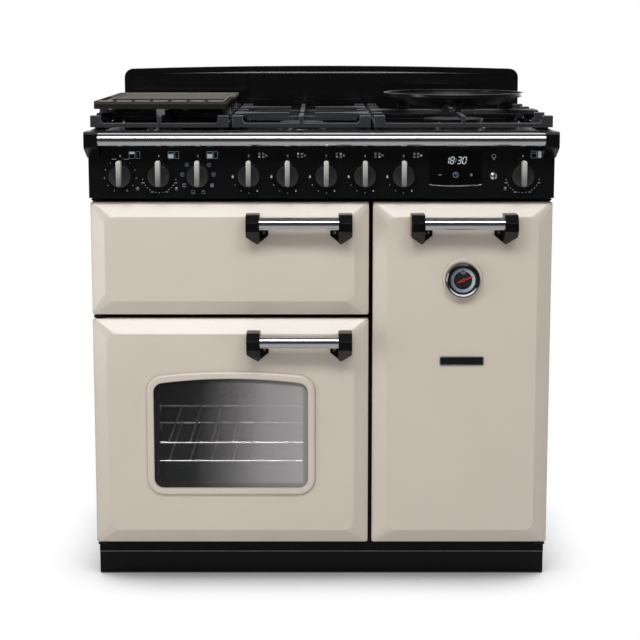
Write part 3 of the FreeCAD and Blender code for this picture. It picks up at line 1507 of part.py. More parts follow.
def pan_support(x, burners, clear):
    """A cast frame with raised tabs, feet and fingers round its burners."""
    bar = D.support_bar
    y = SUPPORT_Y
    left = (x[0], x[0] + bar)
    right = (x[1] - bar, x[1])
    pieces = [
        block(x, (y[0], y[0] + bar), SUPPORT_BAR_Z),
        block(x, (y[1] - bar, y[1]), SUPPORT_BAR_Z),
        block(left, y, SUPPORT_BAR_Z),
        block(right, y, SUPPORT_BAR_Z),
    ]
    for index in range(COUNTS.tabs):
        start = y[0] + TAB_STEP * index
        tab_y = (start, start + D.tab_depth)
        pieces.append(support_tab(x[0], 1, tab_y))
        pieces.append(support_tab(x[1], -1, tab_y))
    foot_height = FINGER_LOW - TRAY_FLOOR
    for foot_x in inset(x, D.tab_width / 2):
        for foot_y in inset(y, D.tab_depth / 2):
            pieces.append(rod("z", (foot_x, foot_y, TRAY_FLOOR), D.support_foot_radius, foot_height))
    centre = middle(x)
    fin_x = around(centre, D.fin_width / 2)
    ends = [y[0]]
    for burner_y in burners:
        ends += [burner_y - clear, burner_y + clear]
        pieces.append(support_finger(x[0], 1, burner_y, centre - clear))
        pieces.append(support_finger(x[1], -1, burner_y, centre + clear))
    ends.append(y[1])
    for start, end in zip(ends[::2], ends[1::2]):
        pieces.append(block(fin_x, (start, end), FINGER_SPAN))
    posts = [(y[0], y[0] + bar), (y[1] - bar, y[1])]
    for start, end in zip(burners, burners[1:]):
        cross = around((start + end) / 2, bar / 2)
        pieces.append(block(x, cross, SUPPORT_BAR_Z))
        posts.append(cross)
    for post in posts:
        pieces.append(block(fin_x, post, (SUPPORT_BAR_Z[0], SUPPORT_TOP)))
    return fuse(*pieces)


def build_supports():
    """The three pan supports."""
    node("pan_support_left", pan_support(SUPPORT_LEFT, PAIR_Y, D.burner_clear))
    node("pan_support_centre", pan_support(SUPPORT_CENTRE, PAIR_Y, D.burner_clear))
    node("pan_support_right", pan_support(SUPPORT_RIGHT, (HOB_MIDDLE,), D.wok_clear))


def build_griddle():
    """The cast griddle plate on feet over the left pan support."""
    x = inset(SUPPORT_LEFT, D.griddle_side_margin)
    y = (SUPPORT_Y[0] + D.griddle_front_inset, SUPPORT_Y[1] - D.griddle_rear_inset)
    low = SUPPORT_TOP + D.griddle_lift
    high = low + D.griddle_thickness
    body = rounded_slab("xy", x, y, D.griddle_radius, low, high)
    recess = new_sketch(body, "xy", high)
    draw_rounded(recess, inset(x, D.griddle_rim), inset(y, D.griddle_rim), D.griddle_radius)
    add_pocket(body, recess, D.griddle_recess)
    foot = D.griddle_foot
    z = (SUPPORT_TOP, low + D.griddle_recess)
    pieces = [body]
    centre = middle(x)
    for foot_y in PAIR_Y:
        foot_span = around(foot_y, foot / 2)
        pieces.append(block((x[0], x[0] + foot), foot_span, z))
        pieces.append(block((x[1] - foot, x[1]), foot_span, z))
    for start in (y[0], y[1] - foot):
        pieces.append(block(around(centre, foot / 2), (start, start + foot), z))
    node("griddle_plate", fuse(*pieces))


def build_wok_ring():
    """The conical cast ring on four legs over the large burner."""
    x = middle(SUPPORT_RIGHT)
    low = D.wok_lift
    high = low + D.wok_height
    wall = D.wok_wall
    profile = [
        (D.wok_base_radius - wall, low),
        (D.wok_base_radius, low),
        (D.wok_rim_radius, high - D.wok_band),
        (D.wok_rim_radius, high),
        (D.wok_rim_radius - wall, high),
        (D.wok_rim_radius - wall, high - D.wok_band),
        (D.wok_base_radius - wall, low + wall),
    ]
    ring = turned("z", (x, HOB_MIDDLE, SUPPORT_TOP), profile)
    half = D.wok_leg_width / 2
    z = (SUPPORT_TOP, SUPPORT_TOP + low + wall)
    pieces = [ring]
    for sign in (-1, 1):
        ends = (D.wok_leg_inner * sign, D.wok_leg_outer * sign)
        low_end, high_end = ends if sign > 0 else ends[::-1]
        pieces.append(block((x + low_end, x + high_end), around(HOB_MIDDLE, half), z))
        pieces.append(block(around(x, half), (HOB_MIDDLE + low_end, HOB_MIDDLE + high_end), z))
    node("wok_ring", fuse(*pieces))


def build_terminal_box():
    """The mains terminal box on the rear panel, with its cable gland."""
    x0 = CASE_X[0] + D.terminal_side_margin
    z0 = BASE_TOP + D.terminal_rise
    x = (x0, x0 + D.terminal_width)
    z = (z0, z0 + D.terminal_height)
    y = (CASE_BACK, CASE_BACK + D.terminal_depth)
    gland = rod("z", (middle(x), middle(y), z0), D.gland_radius, D.gland_depth)
    node("terminal_box", cut(block(x, y, z), gland))


def export():
    """Checks every object, then writes one file for each sub-part."""
    DOC.recompute()
    for thing in DOC.Objects:
        if "Invalid" in thing.State or "Error" in thing.State:
            raise RuntimeError(f"{thing.Name} ({thing.Label}) is not valid")
    for name, piece in NODES.items():
        if piece.Shape.isNull() or not piece.Shape.isValid():
            raise RuntimeError(f"{name} has no valid shape")
    for name, piece in NODES.items():
        piece.Shape.exportStep(os.path.join("parts", f"{name}.step"))
        print(name, len(piece.Shape.Solids), round(piece.Shape.Volume / 1000, 1))


build_casing()
build_front_frame()
build_hinges()
build_chambers()
build_grill_door()
build_oven_door()
build_tall_door()
build_control_panel()
build_controls()
build_rail()
build_splashback()
build_tray()
build_burners()
build_supports()
build_griddle()
build_wok_ring()
build_terminal_box()
export()
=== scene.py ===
"""The looks of a 90 cm range cooker: its finishes, its trims and printed marks, and the studio it stands in."""

import logging
import math
from dataclasses import dataclass
from enum import Enum
from typing import Callable, Optional, Sequence, Union

import bmesh
import bpy
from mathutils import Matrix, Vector


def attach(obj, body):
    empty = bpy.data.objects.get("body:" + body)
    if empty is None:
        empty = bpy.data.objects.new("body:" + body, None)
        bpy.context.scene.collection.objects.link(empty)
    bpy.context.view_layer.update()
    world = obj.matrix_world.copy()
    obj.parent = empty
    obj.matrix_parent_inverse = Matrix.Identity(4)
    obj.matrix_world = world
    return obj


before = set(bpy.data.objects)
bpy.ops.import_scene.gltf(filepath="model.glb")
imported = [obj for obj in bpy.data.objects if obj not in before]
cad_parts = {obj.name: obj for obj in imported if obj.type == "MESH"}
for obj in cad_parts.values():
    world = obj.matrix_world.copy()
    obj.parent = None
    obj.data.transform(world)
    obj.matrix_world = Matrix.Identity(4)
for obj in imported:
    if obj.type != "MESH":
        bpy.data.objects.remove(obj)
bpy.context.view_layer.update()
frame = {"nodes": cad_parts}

log = logging.getLogger("cooker")

MM = 0.001  # sizes are in millimetres unless a docstring says metres
PANEL_FACE = -276.0  # the control panel's front, along Y
SUNK = -0.05  # the back of a trim or mark, just inside the face that it sits on
CREASE = math.radians(35)  # edges that turn by more than this stay sharp
CABINET = "cabinet"
BLACK = (0.0, 0.0, 0.0, 1.0)
WHITE = (1.0, 1.0, 1.0, 1.0)

Point = tuple[float, float]
Place = tuple[float, float, float]
Outline = list[Point]
Loop = list[bmesh.types.BMVert]
Colour = tuple[float, float, float, float]
Stops = Sequence[tuple[float, Colour]]
Term = Union["Field", float, tuple, Vector]
Test = Callable[[Vector, Vector], bool]


class Axis(Enum):
    """The directions that a grain or a fade can run in."""

    X = 0
    Y = 1
    Z = 2


class Facing(Enum):
    """The ways a mark or a trim can face: its own right, up and out directions."""

    FRONT = ((1, 0, 0), (0, 0, 1), (0, -1, 0))
    BACK = ((-1, 0, 0), (0, 0, 1), (0, 1, 0))
    LEFT = ((0, -1, 0), (0, 0, 1), (-1, 0, 0))
    RIGHT = ((0, 1, 0), (0, 0, 1), (1, 0, 0))
    TOP = ((1, 0, 0), (0, 1, 0), (0, 0, 1))


def tint(red: float, green: float, blue: float) -> Colour:
    """Turns a colour as it looks on a screen into the linear one that a shader takes.

    Args:
        red: Red, from 0 to 1.
        green: Green, from 0 to 1.
        blue: Blue, from 0 to 1.

    Returns:
        The linear colour with an alpha of 1.
    """
    def linear(value: float) -> float:
        """Undoes the screen's curve for one channel."""
        return value / 12.92 if value <= 0.04045 else ((value + 0.055) / 1.055) ** 2.4

    return linear(red), linear(green), linear(blue), 1.0


def grey(level: float) -> Colour:
    """Gives a grey by how it looks on a screen, from 0 to 1."""
    return tint(level, level, level)


def shade(colour: Colour, factor: float) -> Colour:
    """Gives a lighter or darker version of a colour."""
    return tuple(min(1.0, channel * factor) for channel in colour[:3]) + (1.0,)


class Field:
    """A node's output that takes part in arithmetic."""

    def __init__(self, graph: "Graph", socket: bpy.types.NodeSocket) -> None:
        """Keeps the socket and the graph that it belongs to."""
        self.graph = graph
        self.socket = socket

    def _math(self, operation: str, first: Term, second: Term) -> "Field":
        """Adds one Math node that works on two terms."""
        return self.graph.node("ShaderNodeMath", {"operation": operation}, {0: first, 1: second})

    def __add__(self, other: Term) -> "Field":
        """Adds a term."""
        return self._math("ADD", self, other)

    __radd__ = __add__

    def __sub__(self, other: Term) -> "Field":
        """Takes a term away."""
        return self._math("SUBTRACT", self, other)

    def __rsub__(self, other: Term) -> "Field":
        """Takes this away from a term."""
        return self._math("SUBTRACT", other, self)

    def __mul__(self, other: Term) -> "Field":
        """Multiplies by a term."""
        return self._math("MULTIPLY", self, other)

    __rmul__ = __mul__

    def __or__(self, other: Term) -> "Field":
        """Takes the larger of two masks."""
        return self._math("MAXIMUM", self, other)

    __ror__ = __or__


class Graph:
    """The nodes of one material or of the world."""

    def __init__(self, owner: Union[bpy.types.Material, bpy.types.World]) -> None:
        """Clears the owner's nodes to start from none.

        Args:
            owner: The material or the world.
        """
        owner.use_nodes = True
        self.tree = owner.node_tree
        self.tree.nodes.clear()

    def node(self, kind: str, settings: Optional[dict] = None, inputs: Optional[dict] = None,
             output: Union[int, str] = 0) -> Field:
        """Adds a node.

        Args:
            kind: The node's type.
            settings: Its properties, which are set first. A ramp's stops go under "stops".
            inputs: Values or links of its sockets, by name or number.
            output: The output to give back, by name or number.

        Returns:
            The chosen output.
        """
        made = self.tree.nodes.new(kind)
        for key, value in (settings or {}).items():
            if key == "stops":
                self._set_stops(made.color_ramp, value)
            else:
                setattr(made, key, value)
        for key, value in (inputs or {}).items():
            socket = made.inputs[key]
            if isinstance(value, Field):
                self.tree.links.new(value.socket, socket)
            else:
                socket.default_value = value
        return Field(self, made.outputs[output] if made.outputs else None)

    @staticmethod
    def _set_stops(ramp: bpy.types.ColorRamp, stops: Stops) -> None:
        """Sets a ramp's stops.

        Args:
            ramp: The ramp.
            stops: The place and colour of each.
        """
        while len(ramp.elements) < len(stops):
            ramp.elements.new(1.0)
        for element, (place, colour) in zip(ramp.elements, stops):
            element.position = place
            element.color = colour

    def place(self) -> Field:
        """Gives the point on the surface in the cooker's own frame, in metres."""
        return self.node("ShaderNodeTexCoord", output="Object")

    def along(self, axis: Axis) -> Field:
        """Gives one coordinate of the point on the surface, in metres."""
        return self.node("ShaderNodeSeparateXYZ", inputs={0: self.place()}, output=axis.value)

    def noise(self, scale: float, detail: float = 2.0, stretch: Place = (1.0, 1.0, 1.0)) -> Field:
        """Gives noise about 0.5, by its features to a metre, its finer layers and a factor along each axis."""
        where = self.node("ShaderNodeVectorMath", {"operation": "MULTIPLY"}, {0: self.place(), 1: stretch})
        return self.node("ShaderNodeTexNoise", None, {"Vector": where, "Scale": scale, "Detail": detail})

    def grain(self, axis: Axis, pitch: Point, detail: float) -> Field:
        """Gives drawn noise, by its features to a metre along an axis and across it, and its finer layers."""
        return self.noise(1.0, detail, tuple(pitch[0] if each is axis else pitch[1] for each in Axis))

    def span(self, axis: Axis, start: float, end: float) -> Field:
        """Gives 0 at one place along an axis and 1 at another, in millimetres."""
        return self.node("ShaderNodeMapRange", None, {
            "Value": self.along(axis), "From Min": start * MM, "From Max": end * MM})

    def fade(self, value: Field, start: float, end: float) -> Field:
        """Gives 0 before the start, 1 after the end and a smooth step between."""
        return self.node("ShaderNodeMapRange", {"interpolation_type": "SMOOTHSTEP"},
                         {"Value": value, "From Min": start, "From Max": end})

    def mix(self, factor: Term, first: Term, second: Term) -> Field:
        """Gives the first colour where the factor is 0 and the second where it is 1."""
        return self.node("ShaderNodeMix", {"data_type": "RGBA"}, {0: factor, 6: first, 7: second}, 2)

    def vary(self, mask: Field, colour: Colour, low: float, high: float) -> Field:
        """Gives a colour that runs from one factor of itself to another where a mask does from 0 to 1."""
        return self.mix(mask, shade(colour, low), shade(colour, high))

    def ramp(self, value: Field, stops: Stops) -> Field:
        """Turns a value into a colour by a row of stops."""
        return self.node("ShaderNodeValToRGB", {"stops": stops}, {0: value})

    def softened(self, radius: float) -> Field:
        """Gives the normal with edges rounded by a radius in millimetres."""
        return self.node("ShaderNodeBevel", {"samples": 6}, {"Radius": radius * MM})

    def edges(self, rounded: Field) -> Field:
        """Gives a mask of the edges.

        Args:
            rounded: The normal that rounds them.

        Returns:
            A value of 1 on an edge and 0 away from it.
        """
        flat = self.node("ShaderNodeNewGeometry", output="Normal")
        facing = self.node("ShaderNodeVectorMath", {"operation": "DOT_PRODUCT"}, {0: rounded, 1: flat}, "Value")
        return self.fade(1 - facing, 0.01, 0.22)

    def bump(self, height: Field, strength: float, depth: float, normal: Optional[Field] = None) -> Field:
        """Gives a normal roughened by a height.

        Args:
            height: The height, from 0 to 1.
            strength: How much of it shows.
            depth: What a height of 1 stands for, in millimetres.
            normal: The normal that it starts from.

        Returns:
            The new normal.
        """
        inputs = {"Height": height, "Strength": strength, "Distance": depth * MM}
        if normal is not None:
            inputs["Normal"] = normal
        return self.node("ShaderNodeBump", None, inputs)

    def sight(self) -> tuple[Field, Field]:
        """Gives masks of what is seen and of what is mirrored.

        Returns:
            What is seen straight or through glass, and what is only mirrored in a gloss.
        """
        path = self.node("ShaderNodeLightPath").socket.node.outputs
        seen = Field(self, path["Is Camera Ray"]) | Field(self, path["Is Transmission Ray"])
        return seen, Field(self, path["Is Glossy Ray"]) * (1 - seen)

    def surface(self, inputs: dict) -> None:
        """Ends the material with one Principled shader."""
        self.close(self.node("ShaderNodeBsdfPrincipled", None, inputs))

    def close(self, shader: Field) -> None:
        """Links a shader to the material's surface."""
        self.node("ShaderNodeOutputMaterial", None, {"Surface": shader})


@dataclass(frozen=True)
class Finish:
    """What all finishes have: a name, and the slot that they belong to, which is not used here."""

    name: str
    slot: str

    def paint(self, graph: Graph) -> None:
        """Builds the nodes; each kind of finish has its own."""
        raise NotImplementedError

    def material(self) -> bpy.types.Material:
        """Gives the finish's material, made the first time that it is asked for.

        Returns:
            The material.
        """
        made = bpy.data.materials.get(self.name)
        if made is None:
            made = bpy.data.materials.new(self.name)
            self.paint(Graph(made))
        return made


@dataclass(frozen=True)
class Enamel(Finish):
    """Fired gloss enamel on sheet: a faint cloud in the colour, orange peel and a clear top."""

    colour: Colour
    rough: float = 0.34
    peel: float = 0.1
    coat: float = 0.6
    edge: float = 1.2
    lip: float = 1.25
    shine: float = 0.5
    gloss: float = 0.06
    glaze: float = 1.5
    cloud: float = 7.0
    speck: float = 2600.0
    ripple: float = 240.0

    def paint(self, graph: Graph) -> None:
        """Builds the enamel's nodes.

        Args:
            graph: The nodes, empty at first.
        """
        cloud = graph.noise(self.cloud, 4.0)
        speck = graph.fade(graph.noise(self.speck, 1.0), 0.68, 0.74)
        rounded = graph.softened(self.edge)
        body = graph.vary(cloud, self.colour, 0.96, 1.04)
        body = graph.mix(speck * 0.25, body, shade(self.colour, 0.8))
        # Painted highlight: the edges are made paler by the lip factor, as if they caught the light.
        body = graph.mix(graph.edges(rounded) * 0.5, body, shade(self.colour, self.lip))
        graph.surface({
            "Base Color": body,
            "Roughness": self.rough + (cloud - 0.5) * 0.3 * self.rough,
            "Specular IOR Level": self.shine,
            "Coat Weight": self.coat * (0.9 + cloud * 0.2),
            "Coat Roughness": self.gloss,
            "Coat IOR": self.glaze,
            "Normal": graph.bump(graph.noise(self.ripple), self.peel, 0.12, rounded),
        })


@dataclass(frozen=True)
class Speckled(Finish):
    """Vitreous oven enamel: dark, with pale flecks and a slightly uneven gloss."""

    colour: Colour
    fleck: Colour = tint(0.62, 0.66, 0.72)
    rough: float = 0.3
    flecks: float = 900.0
    cloud: float = 12.0
    ripple: float = 180.0

    def paint(self, graph: Graph) -> None:
        """Builds the nodes of the flecked enamel.

        Args:
            graph: The nodes, empty at first.
        """
        flecks = graph.fade(graph.noise(self.flecks), 0.66, 0.72)
        cloud = graph.noise(self.cloud, 3.0)
        body = graph.vary(cloud, self.colour, 0.8, 1.2)
        graph.surface({
            "Base Color": graph.mix(flecks * 0.7, body, self.fleck),
            "Roughness": self.rough + cloud * 0.15,
            "Normal": graph.bump(graph.noise(self.ripple, 3.0), 0.15, 0.2, graph.softened(1.0)),
        })


@dataclass(frozen=True)
class Cast(Finish):
    """Matt enamelled casting: sandy grain, edges made paler where worn and by a painted highlight, upward faces made
    paler as painted light, and a slow change in tone.
    """

    colour: Colour
    worn: Colour
    rough: float = 0.55
    grain: float = 0.35
    edge: float = 1.6
    wear: float = 0.6
    shine: float = 0.3
    crown: float = 0.0
    sand: float = 1500.0
    cloud: float = 16.0
    rub: float = 90.0

    def paint(self, graph: Graph) -> None:
        """Builds the casting's nodes.

        Args:
            graph: The nodes, empty at first.
        """
        sand = graph.noise(self.sand, 3.0)
        cloud = graph.noise(self.cloud, 4.0)
        rounded = graph.softened(self.edge)
        # Paler edges: partly worn edges, partly a painted edge highlight.
        rub = graph.edges(rounded) * (0.35 + graph.noise(self.rub, 3.0)) * self.wear
        body = graph.vary(cloud, self.colour, 0.75, 1.3)
        body = graph.mix(sand * 0.35, body, shade(self.colour, 1.5))
        # Painted light: faces that point up are made paler by the crown factor.
        upward = graph.node("ShaderNodeSeparateXYZ", None, {0: rounded}, Axis.Z.value)
        body = graph.mix(graph.fade(upward, 0.6, 0.95) * self.crown, body, self.worn)
        graph.surface({
            "Base Color": graph.mix(rub, self.tone(graph, body), self.worn),
            "Roughness": self.rough + (sand - 0.5) * 0.2 - rub * 0.1,
            "Specular IOR Level": self.shine,
            "Normal": graph.bump(sand, self.grain, 0.25, rounded),
        })

    def tone(self, graph: Graph, body: Field) -> Field:
        """Gives the colour away from the edges; a kind of casting may change it."""
        return body


@dataclass(frozen=True)
class Griddle(Cast):
    """The griddle's casting: its top lighter and streaked along its depth, and a painted reflection on the rear half
    of it.
    """

    plate: Colour = tint(0.27, 0.26, 0.245)
    # the colour of the painted reflection on the rear half of the top
    bright: Colour = tint(0.58, 0.56, 0.53)
    edge_line: float = -10.0
    blur: float = 6.0
    level: float = 945.0
    scour: Point = (700.0, 12.0)

    def tone(self, graph: Graph, body: Field) -> Field:
        """Lightens the plate's top, and paints a reflection on the rear half of it.

        Args:
            graph: The material's nodes.
            body: The casting's own colour.

        Returns:
            The colour with the lighter top and the painted reflection.
        """
        rear = graph.fade(graph.along(Axis.Y), (self.edge_line - self.blur) * MM, (self.edge_line + self.blur) * MM)
        top = graph.fade(graph.along(Axis.Z), (self.level - 0.5) * MM, (self.level + 0.5) * MM)
        scour = graph.grain(Axis.Y, self.scour, 4.0)
        body = graph.mix(top * (0.6 + scour * 0.4), body, self.plate)
        # Painted reflection: the rear half of the top turns pale behind the edge line.
        return graph.mix(rear * top * (0.5 + scour * 0.5), body, self.bright)


@dataclass(frozen=True)
class Steel(Finish):
    """Bare or plated metal with a drawn grain along one axis."""

    colour: Colour
    rough: float
    grain: Axis
    streak: float = 0.12
    edge: float = 0.4
    drawn: Point = (6.0, 1400.0)
    cloud: float = 30.0

    def paint(self, graph: Graph) -> None:
        """Builds the metal's nodes.

        Args:
            graph: The nodes, empty at first.
        """
        lines = graph.grain(self.grain, self.drawn, 3.0)
        cloud = graph.noise(self.cloud, 3.0)
        body = graph.vary(lines, self.colour, 0.9, 1.06)
        graph.surface({
            "Base Color": graph.mix(cloud * 0.25, body, shade(self.colour, 0.88)),
            "Metallic": 1.0,
            "Roughness": self.rough + (lines - 0.5) * self.streak + (cloud - 0.5) * 0.05,
            "Normal": graph.bump(lines, self.streak, 0.03, graph.softened(self.edge)),
        })


@dataclass(frozen=True)
class Spangled(Finish):
    """Zinc-coated sheet with the patches that the bath leaves."""

    colour: Colour
    patch: float = 90.0
    scuff: float = 40.0

    def paint(self, graph: Graph) -> None:
        """Builds the zinc's nodes.

        Args:
            graph: The nodes, empty at first.
        """
        patch = graph.node("ShaderNodeTexVoronoi", {"feature": "F1"},
                           {"Vector": graph.place(), "Scale": self.patch}, "Color")
        tone = graph.node("ShaderNodeSeparateColor", None, {0: patch})
        scuff = graph.noise(self.scuff, 5.0)
        graph.surface({
            "Base Color": graph.vary(tone, self.colour, 0.82, 1.12),
            "Metallic": 0.85,
            "Roughness": 0.36 + tone * 0.16 + scuff * 0.1,
            "Normal": graph.bump(scuff, 0.06, 0.2, graph.softened(0.6)),
        })


@dataclass(frozen=True)
class Moulded(Finish):
    """Moulded plastic, ink or rubber: a fine even texture and a little sheen."""

    colour: Colour
    rough: float = 0.4
    texture: float = 0.15
    edge: float = 0.6
    coat: float = 0.0
    shine: float = 0.5
    grain: float = 1100.0
    cloud: float = 25.0

    def paint(self, graph: Graph) -> None:
        """Builds the moulding's nodes.

        Args:
            graph: The nodes, empty at first.
        """
        grain = graph.noise(self.grain)
        cloud = graph.noise(self.cloud, 3.0)
        graph.surface({
            "Base Color": graph.vary(cloud, self.colour, 0.85, 1.15),
            "Roughness": self.rough + (grain - 0.5) * 0.12,
            "Specular IOR Level": self.shine,
            "Coat Weight": self.coat,
            "Coat Roughness": 0.05,
            "Normal": graph.bump(grain, self.texture, 0.06, graph.softened(self.edge)),
        })


@dataclass(frozen=True)
class Fade(Finish):
    """A finish whose colour runs from one end of a piece to the other: painted light and shade along an axis."""

    axis: Axis
    stops: Stops
    start: float
    end: float
    rough: float = 0.35
    metal: float = 0.0
    drawn: Point = (8.0, 1200.0)

    def paint(self, graph: Graph) -> None:
        """Builds the nodes of the fading colour.

        Args:
            graph: The nodes, empty at first.
        """
        lines = graph.grain(self.axis, self.drawn, 2.0)
        body = graph.ramp(graph.span(self.axis, self.start, self.end), self.stops)
        graph.surface({
            "Base Color": graph.mix(lines * 0.12, body, grey(0.1)),
            "Metallic": self.metal,
            "Roughness": self.rough + (lines - 0.5) * 0.15,
            "Normal": graph.bump(lines, 0.08, 0.03, graph.softened(0.7)),
        })


@dataclass(frozen=True)
class Glazing(Finish):
    """Glass that lets part of the light through, darker at one end than at the other."""

    axis: Axis
    stops: Stops
    start: float
    end: float
    alpha: Point
    shine: float = 0.5
    ripple: float = 3.0

    def paint(self, graph: Graph) -> None:
        """Builds the glass's nodes.

        Args:
            graph: The nodes, empty at first.
        """
        span = graph.span(self.axis, self.start, self.end)
        ripple = graph.noise(self.ripple, 1.0)
        graph.surface({
            "Base Color": graph.ramp(span, self.stops),
            "Roughness": 0.05 + ripple * 0.04,
            "Alpha": self.alpha[0] + (self.alpha[1] - self.alpha[0]) * span + (ripple - 0.5) * 0.04,
            "Specular IOR Level": self.shine,
        })


@dataclass(frozen=True)
class WindowGlass(Finish):
    """Oven glass, tinted, with a painted reflection that makes it paler and less clear towards one side, and a darker
    rim all round.
    """

    stops: Stops
    alpha: Point
    centre: Point = (-178.0, 302.0)
    half: Point = (151.5, 110.5)
    rise: float = 11.0
    rim: float = 9.0
    ripple: float = 4.0

    def paint(self, graph: Graph) -> None:
        """Builds the smoked glass's nodes.

        Args:
            graph: The nodes, empty at first.
        """
        across = (graph.along(Axis.X) - self.centre[0] * MM) * (1 / (self.half[0] * MM))
        height = (graph.along(Axis.Z) - self.centre[1] * MM) * (1 / (self.half[1] * MM))
        arch = height + across * across * graph.fade(height, 0.0, 1.0) * (self.rise / self.half[1])
        edge = [1 - self.rim / side for side in self.half]
        side = graph.fade(across * across, (edge[0] - 0.03) ** 2, (edge[0] + 0.01) ** 2)
        ends = graph.fade(arch * arch, (edge[1] - 0.04) ** 2, (edge[1] + 0.02) ** 2)
        ripple = graph.noise(self.ripple, 1.0)
        # Painted reflection: the glass grows paler and less clear towards +X, and a little towards its foot.
        span = across * 0.5 + 0.5 + (ripple - 0.5) * 0.06 - height * 0.03
        tone = graph.ramp(span, self.stops)
        rim = side | ends
        graph.surface({
            "Base Color": graph.mix(rim * 0.55, tone, grey(0.08)),
            "Roughness": 0.05 + ripple * 0.04,
            "Alpha": self.alpha[0] + (self.alpha[1] - self.alpha[0]) * span + rim * 0.3,
        })


@dataclass(frozen=True)
class Glow(Finish):
    """A lit segment of a display."""

    colour: Colour
    strength: float
    dots: float = 2200.0

    def paint(self, graph: Graph) -> None:
        """Builds the lit segment's nodes.

        Args:
            graph: The nodes, empty at first.
        """
        dots = graph.noise(self.dots, 1.0)
        graph.surface({
            "Base Color": shade(self.colour, 0.3),
            "Emission Color": graph.mix(dots, shade(self.colour, 0.9), self.colour),
            "Emission Strength": self.strength,
            "Roughness": 0.3 + dots * 0.1,
        })


